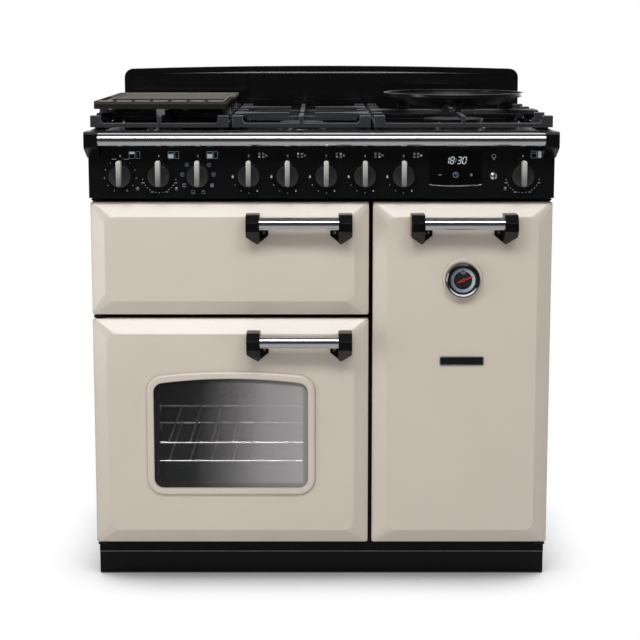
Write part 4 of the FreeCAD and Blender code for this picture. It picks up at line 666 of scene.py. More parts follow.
class Finishes:
    """Every finish on the cooker, by the piece that wears it."""

    cream = Enamel("cream_gloss", "cream_enamel", tint(0.79, 0.75, 0.7), rough=0.4, coat=1.0, edge=4.5, lip=1.05,
                   gloss=0.26, glaze=1.44)
    black = Enamel("black_gloss", "black_enamel", tint(0.055, 0.055, 0.058), rough=0.07, peel=0.03, coat=0.0,
                   lip=2.5, shine=0.4)
    bead = Enamel("black_bead_gloss", "black_enamel", tint(0.05, 0.05, 0.053), rough=0.22, peel=0.0, coat=0.0,
                  shine=0.7)
    hob = Enamel("hob_black_gloss", "black_enamel", tint(0.045, 0.045, 0.048), rough=0.14, peel=0.0, coat=0.0,
                 lip=1.5, shine=0.25)
    sheet = Enamel("black_satin", "dark_sheet", tint(0.07, 0.07, 0.073), rough=0.5, peel=0.25, coat=0.0, lip=2.0)
    # Painted highlight: the plinth's high lip factor paints a pale line along its edges.
    plinth = Enamel("plinth_satin", "dark_sheet", tint(0.03, 0.03, 0.032), rough=0.3, peel=0.1, coat=0.0, lip=8.0,
                    shine=0.2)
    frame = Enamel("frame_black_satin", "black_enamel", tint(0.03, 0.03, 0.032), rough=0.32, peel=0.1, coat=0.0,
                   lip=3.0, shine=0.15)
    oven = Speckled("oven_lining", "oven_enamel", tint(0.09, 0.092, 0.1))
    pan = Speckled("grill_pan_enamel", "oven_enamel", tint(0.06, 0.06, 0.065), rough=0.22)
    # Painted light: the pan supports' upward faces and edges are made paler; the edges are partly worn too.
    support = Cast("pan_support_iron", "cast_iron", tint(0.15, 0.153, 0.166), tint(0.55, 0.56, 0.58), wear=1.0,
                   crown=0.3)
    griddle = Griddle("griddle_iron", "cast_iron", tint(0.13, 0.122, 0.113), tint(0.42, 0.4, 0.37), rough=0.5,
                      shine=0.0)
    # Painted highlight: the ridges on the griddle's rim are pale to stand in for the light caught along the rim.
    lip = Cast("griddle_lip_painted_highlight", "cast_iron", tint(0.46, 0.44, 0.41), tint(0.68, 0.66, 0.62), rough=0.42)
    foot = Cast("griddle_foot_iron", "cast_iron", tint(0.36, 0.37, 0.39), tint(0.58, 0.59, 0.61), rough=0.45)
    # The wok ring's pale edges are partly worn and partly a painted highlight along its rim.
    wok = Cast("wok_ring_iron", "cast_iron", tint(0.035, 0.035, 0.038), tint(0.46, 0.46, 0.47), rough=0.26,
               grain=0.08, wear=0.8, shine=0.5)
    cap = Cast("burner_cap_enamel", "cast_iron", tint(0.08, 0.08, 0.085), grey(0.2), grain=0.15)
    alloy = Steel("burner_casting", "burner_alloy", grey(0.6), 0.2, Axis.Z, 0.1)
    bar = Steel("polished_bar", "polished_steel", tint(0.86, 0.86, 0.87), 0.1, Axis.X, 0.04)
    chrome = Steel("chrome_trim", "polished_steel", tint(0.88, 0.88, 0.9), 0.1, Axis.X, 0.03)
    hinge = Steel("hinge_black_steel", "inner_steel", tint(0.2, 0.2, 0.21), 0.4, Axis.Z)
    zinc = Steel("zinc_bracket", "inner_steel", tint(0.68, 0.68, 0.7), 0.32, Axis.Z)
    lining = Steel("door_lining_steel", "inner_steel", tint(0.62, 0.62, 0.64), 0.3, Axis.X)
    wire = Steel("nickel_wire", "steel_wire", grey(0.76), 0.36, Axis.X, 0.06)
    impeller = Steel("impeller_sheet", "inner_steel", tint(0.66, 0.65, 0.64), 0.3, Axis.Y)
    element = Steel("element_sheath", "inner_steel", tint(0.36, 0.33, 0.31), 0.45, Axis.Y)
    brass = Steel("gas_pipe_metal", "inner_steel", tint(0.66, 0.6, 0.46), 0.34, Axis.X)
    back = Spangled("rear_sheet_zinc", "dark_sheet", tint(0.6, 0.61, 0.63))
    tray = Spangled("base_sheet_zinc", "dark_sheet", tint(0.5, 0.51, 0.53))
    bracket = Enamel("handle_bracket_black", "black_casting", tint(0.035, 0.035, 0.037), rough=0.28, peel=0.05,
                     coat=0.0, lip=4.0, shine=0.25)
    plastic = Moulded("black_moulding", "black_plastic", tint(0.07, 0.07, 0.075))
    skirt = Moulded("knob_skirt", "black_plastic", tint(0.03, 0.03, 0.033), rough=0.22, coat=0.3)
    # Painted shade: each knob's dial is paler at its foot and darkens towards its top.
    dial = Fade("knob_dial_painted_shade", "black_plastic", Axis.Z, (
        (0.0, grey(0.19)), (0.5, tint(0.12, 0.12, 0.125)), (1.0, tint(0.06, 0.06, 0.065))), 789.0, 831.0, 0.42)
    # Painted light: the knobs' grips run from darker at the bottom to pale at the top, as light from above shows
    # them.
    grip = Fade("knob_grip_painted_light", "black_plastic", Axis.Z, (
        (0.0, tint(0.46, 0.45, 0.44)), (0.3, tint(0.56, 0.55, 0.54)), (0.7, tint(0.76, 0.75, 0.73)),
        (1.0, tint(0.86, 0.85, 0.83))), 790.0, 842.0, 0.34, 0.35)
    rubber = Moulded("door_seal_rubber", "seal_rubber", grey(0.17), rough=0.7, texture=0.4)
    gauge = Enamel("gauge_rim_black", "gauge", tint(0.03, 0.03, 0.035), rough=0.08, peel=0.0, coat=1.0, edge=1.6)
    face = Moulded("gauge_face", "gauge", tint(0.02, 0.022, 0.026), rough=0.5, shine=0.15)
    # Painted light: the gauge's ring turns from dark on the left to pale on the right.
    ring = Fade("gauge_ring_painted_light", "gauge", Axis.X, (
        (0.0, tint(0.4, 0.45, 0.52)), (0.5, tint(0.58, 0.64, 0.7)), (1.0, tint(0.76, 0.83, 0.88))), 250.0, 298.0)
    # Painted highlight: the bead round the gauge's mouth is near-white along its lower edge and dark above.
    crescent = Fade("gauge_bead_painted_highlight", "gauge", Axis.Z, (
        (0.0, grey(0.9)), (0.14, tint(0.84, 0.84, 0.85)), (0.3, tint(0.1, 0.1, 0.11)),
        (1.0, tint(0.05, 0.05, 0.055))), 577.6, 638.4, 0.2)
    needle = Moulded("needle_red", "needle", tint(0.86, 0.13, 0.11), rough=0.3, texture=0.05, coat=0.5)
    # Print with painted light: the marks high on the panel are made much paler, standing in for light that the rail's
    # shadow takes from them.
    ink = Fade("panel_ink_painted_light", "black_plastic", Axis.Z, (
        (0.0, tint(0.62, 0.67, 0.75)), (0.58, tint(0.62, 0.67, 0.75)), (0.66, tint(0.93, 0.97, 1.0)),
        (1.0, tint(0.93, 0.97, 1.0))), 767.0, 887.0, 0.5)
    dark_ink = Moulded("gauge_ink", "gauge", tint(0.12, 0.14, 0.17), rough=0.5, texture=0.1)
    # Painted shade: dark blocks stand in for the shade inside the burners' flame slots.
    port = Moulded("flame_port_painted_shade", "burner_alloy", tint(0.06, 0.055, 0.05), rough=0.7, texture=0.2)
    frit = Moulded("window_border", "window_glass", tint(0.045, 0.045, 0.05), rough=0.3, texture=0.1)
    plate = Enamel("plate_black", "polished_steel", tint(0.04, 0.04, 0.043), rough=0.2, peel=0.03, coat=0.2, lip=3.0)
    amber = Moulded("amber_dome", "amber_lens", tint(0.3, 0.275, 0.25), rough=0.2, texture=0.02, coat=0.6)
    screen = Moulded("clock_screen", "black_plastic", tint(0.012, 0.012, 0.014), rough=0.1, texture=0.0)
    digits = Glow("clock_digits", "black_plastic", tint(0.86, 0.9, 0.93), 0.75)
    lamp = Glow("oven_lamp_glass", "window_glass", tint(1.0, 0.93, 0.8), 1.2)
    # Painted reflection: the outer pane turns pale and less clear towards the right.
    smoked = WindowGlass("window_smoked_painted_reflection", "window_glass", (
        (0.0, grey(0.13)), (0.28, grey(0.2)), (0.5, tint(0.52, 0.51, 0.51)),
        (0.72, tint(0.74, 0.73, 0.73)), (1.0, tint(0.8, 0.79, 0.79))), (0.3, 0.58))
    clear = Glazing("window_clear", "window_glass", Axis.X, (
        (0.0, tint(0.3, 0.32, 0.32)), (1.0, tint(0.3, 0.32, 0.32))), -329.0, -27.0, (0.05, 0.05))
    lens = Glazing("gauge_lens", "gauge", Axis.X, (
        (0.0, grey(0.5)), (1.0, grey(0.6))), 246.0, 302.0, (0.03, 0.03), 0.12)


def dress(node: str, finish: Finish, *patches: tuple[Finish, Test]) -> None:
    """Gives a solid its finish, and patches of it other finishes.

    Args:
        node: The solid's name.
        finish: The finish of all that no patch takes.
        patches: Finishes, each with a test on a face's middle in millimetres and its normal.
    """
    mesh = frame["nodes"][node].data
    mesh.materials.clear()
    for wanted in (finish, *(patch for patch, _ in patches)):
        mesh.materials.append(wanted.material())
    for face in mesh.polygons:
        middle = face.center / MM
        face.material_index = next(
            (number for number, (_, test) in enumerate(patches, 1) if test(middle, face.normal)), 0)
    log.info("dressed %s in %s", node, finish.name)


def circle(radius: float, sides: int = 32, centre: Point = (0.0, 0.0)) -> Outline:
    """Gives a circle's points."""
    return [(centre[0] + radius * math.cos(2 * math.pi * step / sides),
             centre[1] + radius * math.sin(2 * math.pi * step / sides)) for step in range(sides)]


def oblong(width: float, height: float, radius: float, centre: Point = (0.0, 0.0), steps: int = 6) -> Outline:
    """Gives a rectangle's points.

    Args:
        width: Its width.
        height: Its height.
        radius: The radius of its corners.
        centre: Its middle.
        steps: The number of runs that each corner is divided into.

    Returns:
        The points, anticlockwise.
    """
    points = []
    for quarter, (side, up) in enumerate(((1, 1), (-1, 1), (-1, -1), (1, -1))):
        middle = (centre[0] + side * (width / 2 - radius), centre[1] + up * (height / 2 - radius))
        for step in range(steps + 1):
            angle = math.pi / 2 * (quarter + step / steps)
            points.append((middle[0] + radius * math.cos(angle), middle[1] + radius * math.sin(angle)))
    return points


def hexagon(across: float, sides: int = 24) -> Outline:
    """Gives a hexagon's points, in step with those of a circle of as many sides.

    Args:
        across: The distance between two flats.
        sides: The number of points.

    Returns:
        The points, anticlockwise.
    """
    half = across / 2
    points = []
    for step in range(sides):
        angle = 2 * math.pi * step / sides
        reach = half / math.cos((angle + math.pi / 6) % (math.pi / 3) - math.pi / 6)
        points.append((reach * math.cos(angle), reach * math.sin(angle)))
    return points


def teardrop(width: float, height: float, sides: int = 24) -> Outline:
    """Gives a flame's points, upright, about its middle.

    Args:
        width: Its width, about.
        height: Its height.
        sides: The number of points.

    Returns:
        The points, clockwise from the tip.
    """
    points = []
    for step in range(sides):
        angle = 2 * math.pi * step / sides
        points.append((width / 2 * math.sin(angle) * abs(math.sin(angle / 2)) ** 1.4 * 1.25,
                       height / 2 * math.cos(angle)))
    return points


def polar(angle: float, radius: float) -> Point:
    """Gives a point by its angle clockwise from the top, in degrees, and its radius."""
    return radius * math.sin(math.radians(angle)), radius * math.cos(math.radians(angle))


def moved(outline: Outline, shift: Point) -> Outline:
    """Gives an outline in another place."""
    return [(u + shift[0], v + shift[1]) for u, v in outline]


class Maker:
    """Gathers closed forms into one mesh, in millimetres, on a seat that faces one way."""

    def __init__(self, name: str, facing: Facing, origin: Place) -> None:
        """Starts an empty piece.

        Args:
            name: The piece's name.
            facing: The way that its seat faces.
            origin: The seat's own zero point in the cooker's frame.
        """
        self.name = name
        self.axes = [Vector(direction) for direction in facing.value]
        self.origin = Vector(origin)
        self.mesh = bmesh.new()

    def spot(self, u: float, v: float, w: float) -> Vector:
        """Gives a point of the seat in the cooker's frame, in metres."""
        return (self.origin + self.axes[0] * u + self.axes[1] * v + self.axes[2] * w) * MM

    def loop(self, outline: Outline, height: float) -> Loop:
        """Adds an outline's points at a height above the seat."""
        return [self.mesh.verts.new(self.spot(u, v, height)) for u, v in outline]

    def bridge(self, first: Loop, second: Loop) -> None:
        """Joins two loops of as many points by a band of faces.

        Args:
            first: One loop.
            second: The other loop.
        """
        count = len(first)
        for step in range(count):
            after = (step + 1) % count
            self.mesh.faces.new((first[step], first[after], second[after], second[step]))

    def prism(self, outline: Outline, low: float, high: float) -> None:
        """Adds an outline as a block between two heights."""
        self.tapered(outline, outline, low, high)

    def tapered(self, foot: Outline, crest: Outline, low: float, high: float) -> None:
        """Adds a block whose top outline may differ from its foot.

        Args:
            foot: The outline of its foot.
            crest: The outline of its top, of as many points.
            low: The height of its foot above the seat.
            high: The height of its top.
        """
        bottom, top = self.loop(foot, low), self.loop(crest, high)
        self.mesh.faces.new(bottom)
        self.mesh.faces.new(top)
        self.bridge(bottom, top)

    def band(self, outer: Outline, inner: Outline, low: float, high: float) -> None:
        """Adds the band between two outlines of as many points.

        Args:
            outer: The outline round it.
            inner: The outline that it leaves open.
            low: The height of its back above the seat.
            high: The height of its front.
        """
        loops = [self.loop(outer, low), self.loop(outer, high), self.loop(inner, high), self.loop(inner, low)]
        for lower, upper in zip(loops, loops[1:] + loops[:1]):
            self.bridge(lower, upper)

    def turned(self, profile: Outline, centre: Point = (0.0, 0.0), sides: int = 40, ring: bool = False) -> None:
        """Adds a form turned about the seat's out direction.

        Args:
            profile: Radius and height of each point, from one end of the axis to the other, or once round a ring.
            centre: The place of its axis on the seat.
            sides: The number of flats round it.
            ring: Whether the form is open along its axis.
        """
        loops = []
        for radius, height in profile:
            if radius == 0.0:
                loops.append([self.mesh.verts.new(self.spot(centre[0], centre[1], height))])
            else:
                loops.append(self.loop(circle(radius, sides, centre), height))
        for lower, upper in zip(loops, loops[1:]):
            if len(lower) == len(upper):
                self.bridge(lower, upper)
                continue
            tip, rim = (lower[0], upper) if len(lower) == 1 else (upper[0], lower)
            for step in range(sides):
                self.mesh.faces.new((rim[step], rim[(step + 1) % sides], tip))
        if ring:
            self.bridge(loops[-1], loops[0])
            return
        for end in (loops[0], loops[-1]):
            if len(end) > 1:
                self.mesh.faces.new(end)

    def numeral(self, text: str, centre: Point, height: float, low: float, high: float) -> None:
        """Adds figures in a plain face.

        Args:
            text: The figures.
            centre: Their middle on the seat.
            height: Their height.
            low: The height of their back above the seat.
            high: The height of their front.
        """
        curve = bpy.data.curves.new("figures", "FONT")
        curve.body = text
        curve.align_x = "CENTER"
        curve.size = 1.0
        curve.extrude = 0.5
        curve.resolution_u = 3
        holder = bpy.data.objects.new("figures", curve)
        bpy.context.collection.objects.link(holder)
        drawn = bpy.data.meshes.new_from_object(holder.evaluated_get(bpy.context.evaluated_depsgraph_get()))
        bpy.data.objects.remove(holder)
        bpy.data.curves.remove(curve)
        scale = height / max(vertex.co.y for vertex in drawn.vertices)
        for vertex in drawn.vertices:
            u, v, w = vertex.co
            vertex.co = self.spot(centre[0] + u * scale, centre[1] + v * scale - height / 2,
                                  low + (w + 0.5) * (high - low))
        self.mesh.from_mesh(drawn)
        bpy.data.meshes.remove(drawn)
        bmesh.ops.remove_doubles(self.mesh, verts=self.mesh.verts, dist=1e-6)

    def piece(self, body: str, finish: Finish) -> bpy.types.Object:
        """Ends the mesh as a piece that rides on a body.

        Args:
            body: The body's name.
            finish: The piece's finish.

        Returns:
            The new object.
        """
        bmesh.ops.recalc_face_normals(self.mesh, faces=self.mesh.faces)
        for face in self.mesh.faces:
            face.smooth = True
        for edge in self.mesh.edges:
            edge.smooth = len(edge.link_faces) == 2 and edge.calc_face_angle() < CREASE
        mesh = bpy.data.meshes.new(self.name)
        self.mesh.to_mesh(mesh)
        self.mesh.free()
        mesh.materials.append(finish.material())
        made = bpy.data.objects.new(self.name, mesh)
        bpy.context.collection.objects.link(made)
        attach(made, body)
        log.info("made %s on %s", self.name, body)
        return made


@dataclass
class Screw:
    """A domed screw head with a hexagon socket."""

    radius: float = 3.6
    rise: float = 1.8
    socket: float = 3.2
    crown: float = 0.72
    brim: float = 0.45
    well: float = 0.3
    sides: int = 24

    def add(self, maker: Maker, place: Point, foot: float) -> None:
        """Adds the head to a piece.

        Args:
            maker: The piece.
            place: The screw's place on the piece's seat.
            foot: The height that the head starts at.
        """
        brim = circle(self.radius, self.sides, place)
        crown = circle(self.radius * self.crown, self.sides, place)
        well = moved(hexagon(self.socket, self.sides), place)
        top = foot + self.rise
        loops = [maker.loop(brim, foot), maker.loop(brim, foot + self.rise * self.brim), maker.loop(crown, top),
                 maker.loop(well, top), maker.loop(well, foot + self.rise * self.well)]
        for lower, upper in zip(loops, loops[1:]):
            maker.bridge(lower, upper)
        maker.mesh.faces.new(loops[0])
        maker.mesh.faces.new(loops[-1])


@dataclass
class Handle:
    """A bar handle on a door, with a screw in each bracket's wing."""

    door: str
    middle: float
    level: float
    screw_reach: float = 68.0
    screw_drop: float = 20.0
    screw_foot: float = 0.02
    recess_floor: float = -281.0

    def build(self) -> None:
        """Dresses the bar and brackets, and adds the screws."""
        dress(f"{self.door}_handle_bar", Finishes.bar)
        dress(f"{self.door}_handle_brackets", Finishes.bracket)
        maker = Maker(f"{self.door}_handle_screws", Facing.FRONT, (self.middle, self.recess_floor, self.level))
        for side in (-1, 1):
            Screw().add(maker, (side * self.screw_reach, -self.screw_drop), self.screw_foot)
        maker.piece(self.door, Finishes.chrome)


@dataclass
class Door:
    """A bevelled door: its pressed skin, its inner lining and its handle."""

    name: str
    handle: Handle

    def build(self) -> None:
        """Dresses the door's own solids and its handle."""
        dress(f"{self.name}_panel", Finishes.cream)
        dress(f"{self.name}_liner", Finishes.lining)
        self.handle.build()


@dataclass
class OvenDoor(Door):
    """The door with the arched window."""

    centre: Point = (-178.0, 302.0)
    width: float = 303.0
    height: float = 221.0
    rise: float = 11.0
    corner: float = 19.0
    border: float = 11.0
    border_lap: float = 6.0
    border_depth: Point = (-0.3, -0.05)
    pane_back: float = -270.4
    outer_pane: float = -274.0

    def outline(self, inset: float, steps: int = 8) -> Outline:
        """Gives the window's outline with a low arch at its head.

        Args:
            inset: How far inside the opening it runs.
            steps: The number of runs that each corner and half the arch are divided into.

        Returns:
            The points, relative to the window's middle.
        """
        half = self.width / 2 - inset
        top = self.height / 2 - inset
        corner = self.corner - inset * 0.4
        flat = oblong(2 * half, 2 * top, corner, steps=steps)
        head = [((half - corner) * (1 - step / steps), top) for step in range(1, 2 * steps)]
        points = flat[:steps + 1] + head + flat[steps + 1:]
        return [(u, v - self.rise * (u / half) ** 2 * max(0.0, v / top)) for u, v in points]

    def build(self) -> None:
        """Dresses the door and glazes its window."""
        super().build()
        dress("oven_door_glass", Finishes.clear,
              (Finishes.smoked, lambda middle, normal: middle.y < self.outer_pane and normal.y < -0.9))
        maker = Maker("window_border", Facing.FRONT, (self.centre[0], self.pane_back, self.centre[1]))
        maker.band(self.outline(-self.border_lap), self.outline(self.border), *self.border_depth)
        maker.piece(self.name, Finishes.frit)


@dataclass
class TallDoor(Door):
    """The tall door with the gauge and the bare plate."""

    gauge: Point = (274.0, 608.0)
    dial_floor: float = -286.0
    dial: float = 27.7
    dial_layer: Point = (0.02, 0.15)
    ring: Point = (24.0, 18.0)
    ring_layer: Point = (0.15, 0.25)
    ticks: int = 19
    tick_start: float = -135.0
    tick_pitch: float = 15.0
    tick_end: float = 23.6
    long_tick: Point = (21.0, 0.7)
    short_tick: Point = (22.2, 0.4)
    tick_layer: Point = (0.25, 0.32)
    symbol: Point = (0.0, 16.6)
    symbol_ground: float = 4.6
    ground_layer: Point = (0.2, 0.3)
    symbol_ring: Point = (4.4, 3.4)
    symbol_flame: Point = (1.8, 3.0)
    symbol_layer: Point = (0.25, 0.38)
    lens_face: float = -291.0
    lens_reach: float = 28.0
    mouth_face: float = -294.0
    bead: Point = (30.4, 28.4)
    bead_middle: Point = (-0.6, 1.4)
    bead_rise: float = 0.4
    plate: Point = (274.0, 447.0)
    plate_face: float = -278.0
    border: tuple[Place, Place] = ((85.0, 17.0, 1.2), (83.0, 15.0, 0.8))
    border_rise: float = 0.2

    def build(self) -> None:
        """Dresses the door, the gauge and the plate."""
        super().build()
        self.build_gauge()
        self.build_plate()

    def build_gauge(self) -> None:
        """Dresses the gauge, and adds its face, its ring with painted light, ticks, mark and a bead with a painted
        highlight.
        """
        dress("gauge_case", Finishes.gauge, (Finishes.lens, self.on_lens))
        dress("gauge_needle", Finishes.needle)
        worn = {"gauge_face": Finishes.face, "gauge_ring_painted_light": Finishes.ring, "gauge_marks": Finishes.dark_ink,
                "gauge_symbol_ground": Finishes.face, "gauge_symbol": Finishes.ink}
        seat = (self.gauge[0], self.dial_floor, self.gauge[1])
        makers = [Maker(name, Facing.FRONT, seat) for name in worn]
        face, ring, marks, ground, symbol = makers
        face.prism(circle(self.dial, 64), *self.dial_layer)
        ring.band(*(circle(radius, 64) for radius in self.ring), *self.ring_layer)
        for step in range(self.ticks):
            inner, width = self.short_tick if step % 3 else self.long_tick
            self.add_tick(marks, self.tick_start + self.tick_pitch * step, inner, width)
        ground.prism(circle(self.symbol_ground, 28, self.symbol), *self.ground_layer)
        symbol.band(*(circle(radius, 28, self.symbol) for radius in self.symbol_ring), *self.symbol_layer)
        symbol.prism(moved(teardrop(*self.symbol_flame), self.symbol), *self.symbol_layer)
        for maker in makers:
            maker.piece(self.name, worn[maker.name])
        # The bead sits off the gauge's middle, so its painted highlight is widest towards the bottom right.
        bead = Maker("gauge_bead", Facing.FRONT, (self.gauge[0], self.mouth_face, self.gauge[1]))
        bead.band(circle(self.bead[0], 72), circle(self.bead[1], 72, self.bead_middle), SUNK, self.bead_rise)
        bead.piece(self.name, Finishes.crescent)

    def on_lens(self, middle: Vector, normal: Vector) -> bool:
        """Tells whether a face belongs to the lens in the gauge's mouth."""
        reach = math.hypot(middle.x - self.gauge[0], middle.z - self.gauge[1])
        return middle.y < self.lens_face and reach < self.lens_reach and abs(normal.y) > 0.9

    def add_tick(self, maker: Maker, angle: float, inner: float, width: float) -> None:
        """Adds one radial tick to the gauge's face.

        Args:
            maker: The piece.
            angle: The tick's angle clockwise from the top, in degrees.
            inner: The radius of its inner end.
            width: Its width.
        """
        u, v = polar(angle, 1.0)
        ends = ((inner, width / 2), (self.tick_end, width / 2), (self.tick_end, -width / 2), (inner, -width / 2))
        maker.prism([(u * reach + v * side, v * reach - u * side) for reach, side in ends], *self.tick_layer)

    def build_plate(self) -> None:
        """Dresses the bare plate and adds its bright border."""
        dress("name_plate", Finishes.plate)
        rim = Maker("plate_border", Facing.FRONT, (self.plate[0], self.plate_face, self.plate[1]))
        rim.band(oblong(*self.border[0]), oblong(*self.border[1]), SUNK, self.border_rise)
        rim.piece(self.name, Finishes.chrome)


class Symbol(Enum):
    """What stands in an oven function's pictogram."""

    LAMP = "lamp"
    FAN = "fan"
    FAN_RING = "fan_ring"
    TOP = "top"
    BASE = "base"
    BOTH = "both"
    GRILL = "grill"
    DEFROST = "defrost"


class Fill(Enum):
    """Which part of the two-oven picture is filled in: its width, its height and its middle."""

    TOP_LEFT = (9.6, 3.4, (5.6, 4.4))
    LOW_LEFT = (9.6, 7.6, (5.6, -2.0))
    RIGHT = (6.2, 11.8, (17.1, 0.0))


@dataclass
class Print:
    """Marks printed on the control panel about one place."""

    name: str
    x: float
    z: float
    low: float = SUNK
    high: float = 0.15

    def __post_init__(self) -> None:
        """Starts the print's own mesh."""
        self.maker = Maker(self.name, Facing.FRONT, (self.x, PANEL_FACE, self.z))

    def solid(self, outline: Outline) -> None:
        """Prints a filled outline."""
        self.maker.prism(outline, self.low, self.high)

    def line(self, outer: Outline, inner: Outline) -> None:
        """Prints the line between two outlines."""
        self.maker.band(outer, inner, self.low, self.high)

    def dot(self, place: Point, radius: float = 0.85) -> None:
        """Prints a dot."""
        self.solid(circle(radius, 16, place))

    def ring(self, place: Point, radius: float, width: float = 0.55) -> None:
        """Prints a ring."""
        self.line(circle(radius, 24, place), circle(radius - width, 24, place))

    def figures(self, text: str, place: Point, height: float) -> None:
        """Prints figures."""
        self.maker.numeral(text, place, height, self.low, self.high)

    def frame(self, width: float, height: float, place: Point, line: float = 0.4) -> None:
        """Prints a box in outline."""
        self.line(oblong(width, height, 0.8, place, 3),
                  oblong(width - 2 * line, height - 2 * line, 0.4, place, 3))

    def block(self, width: float, height: float, place: Point) -> None:
        """Prints a filled box."""
        self.solid(oblong(width, height, 0.4, place, 3))

    def ovens(self, fill: Fill, shift: Point) -> None:
        """Prints the picture of the two ovens with one part filled in.

        Args:
            fill: The part that is filled in.
            shift: The picture's place.
        """
        left, right = 5.6 + shift[0], 17.1 + shift[0]
        self.frame(11.2, 13.4, (left, shift[1]))
        self.frame(7.8, 13.4, (right, shift[1]))
        self.block(10.0, 0.6, (left, shift[1] + 2.3))
        width, height, (u, v) = fill.value
        self.block(width, height, (u + shift[0], v + shift[1]))

    def finish(self) -> None:
        """Ends the print as one piece on the cabinet."""
        self.maker.piece(CABINET, Finishes.ink)


@dataclass
class ControlPanel:
    """The panel with its knobs, clock, button and printed marks."""

    level: float = 810.0
    grill: float = -387.0
    temperature: float = -312.3
    function: float = -237.6
    burners: tuple[float, ...] = (-139.6, -65.2, 9.2, 83.6, 158.0)
    right: float = 387.0
    button: float = 331.0
    screen: Point = (258.0, 826.0)
    screen_face: float = -277.5
    grip_face: float = -290.8
    dial_face: float = -280.8
    nought: Point = (0.0, 38.4)
    picture: Point = (17.3, 40.0)
    right_picture: Point = (15.2, 41.2)
    grill_figures: tuple[float, ...] = (37, 98, 157)
    grill_dots: tuple[float, ...] = (68, 128)
    degrees: tuple[tuple[float, str], ...] = ((113, "100"), (156, "150"), (204, "200"), (247, "250"))
    degree_dots: tuple[float, ...] = (102, 258, 124, 135, 146, 168, 180, 192, 214, 225, 236)
    pictograms: tuple[Point, ...] = (
        (45, 30.0), (85, 30.0), (124.5, 32.4), (163, 32.6), (-163, 32.6), (-124.5, 32.4), (-85, 30.0), (-45, 30.0))
    burner_dots: tuple[Point, ...] = ((-123, 32.0), (-152, 32.8), (180, 33.2))
    hob_picture: tuple[Point, ...] = ((20.3, 36.7), (20.3, 42.5), (27.7, 42.5), (27.7, 36.7), (33.4, 39.4))
    hob_ring: float = 1.9
    key_bars: tuple[Place, ...] = ((6.0, 0.9, -30.0), (6.0, 0.9, 30.0), (0.9, 6.0, 30.0))
    key_level: float = -14.0
    trim_drop: float = 32.0
    trim_half: float = 50.0
    trim_sag: float = 2.8
    trim_width: float = 2.2
    trim_slope: float = 0.3
    trim_rise: float = 1.2
    trim_steps: int = 24

    def build(self) -> None:
        """Dresses the panel and prints all of its marks."""
        dress("control_panel", Finishes.black)
        dress("switch_bodies", Finishes.plastic)
        dress("gas_manifold", Finishes.brass)
        dress("indicator_lenses", Finishes.amber)
        dress("light_button", Finishes.chrome)
        dress("clock_module", Finishes.screen)
        knobs = ["grill_knob", "left_oven_temperature_knob", "left_oven_function_knob", "right_oven_knob"]
        knobs += [f"burner_knob_{number}" for number, _ in enumerate(self.burners, 1)]
        # Each knob's grips and dial get finishes with painted light and shade running from bottom to top.
        for knob in knobs:
            dress(knob, Finishes.skirt,
                  (Finishes.grip, lambda middle, normal: middle.y < self.grip_face),
                  (Finishes.dial, lambda middle, normal: middle.y < self.dial_face))
        self.print_grill()
        self.print_temperature("left_oven_temperature_marks", self.temperature, Fill.LOW_LEFT, self.picture)
        self.print_function()
        self.print_temperature("right_oven_marks", self.right, Fill.RIGHT, self.right_picture)
        for number, place in enumerate(self.burners):
            self.print_burner(number, place)
        self.print_button()
        self.build_clock()

    def start(self, name: str, x: float) -> Print:
        """Starts a knob's print with the nought above it.

        Args:
            name: The print's name.
            x: The knob's place along the panel.

        Returns:
            The new print.
        """
        marks = Print(name, x, self.level)
        marks.figures("0", self.nought, 4.2)
        return marks

    def print_grill(self) -> None:
        """Prints the grill knob's scale, which runs both ways."""
        marks = self.start("grill_knob_marks", self.grill)
        for side in (-1, 1):
            for number, angle in enumerate(self.grill_figures, 1):
                marks.figures(str(number), polar(side * angle, 31.0), 3.6)
            for angle in self.grill_dots:
                marks.dot(polar(side * angle, 30.5))
            marks.block(9.5, 0.9, (side * 11.6, 32.0))
        marks.ovens(Fill.TOP_LEFT, self.picture)
        marks.finish()

    def print_temperature(self, name: str, x: float, fill: Fill, picture: Point) -> None:
        """Prints an oven knob's scale of temperatures.

        Args:
            name: The print's name.
            x: The knob's place along the panel.
            fill: The oven that the picture shows filled in.
            picture: The picture's place from the knob.
        """
        marks = self.start(name, x)
        for angle, text in self.degrees:
            marks.figures(text, polar(angle, 34.0), 2.8)
        for angle in self.degree_dots:
            marks.dot(polar(angle, 32.5))
        marks.ovens(fill, picture)
        marks.finish()

    def print_function(self) -> None:
        """Prints the function knob's ring of pictograms."""
        marks = self.start("left_oven_function_marks", self.function)
        for (angle, radius), symbol in zip(self.pictograms, Symbol):
            self.print_symbol(marks, symbol, polar(angle, radius))
        marks.ovens(Fill.LOW_LEFT, self.picture)
        marks.finish()

    @staticmethod
    def print_symbol(marks: Print, symbol: Symbol, place: Point) -> None:
        """Prints one oven function's pictogram.

        Args:
            marks: The print that it belongs to.
            symbol: What it shows.
            place: Its middle.
        """
        marks.frame(6.6, 6.6, place)
        u, v = place
        if symbol in (Symbol.TOP, Symbol.BOTH):
            marks.block(4.0, 0.6, (u, v + 1.7))
        if symbol in (Symbol.BASE, Symbol.BOTH, Symbol.DEFROST):
            marks.block(4.0, 0.6, (u, v - 1.7))
        if symbol in (Symbol.FAN, Symbol.FAN_RING):
            for blade in circle(0.95, 4, place):
                marks.dot(blade, 0.45)
        if symbol in (Symbol.FAN_RING, Symbol.LAMP):
            marks.ring(place, 2.1, 0.4)
        if symbol is Symbol.GRILL:
            for step in (-1, 0, 1):
                marks.block(0.6, 2.0, (u + step * 1.3, v + 0.9))
        if symbol is Symbol.DEFROST:
            marks.solid(moved(teardrop(1.8, 2.4), (u, v + 0.6)))

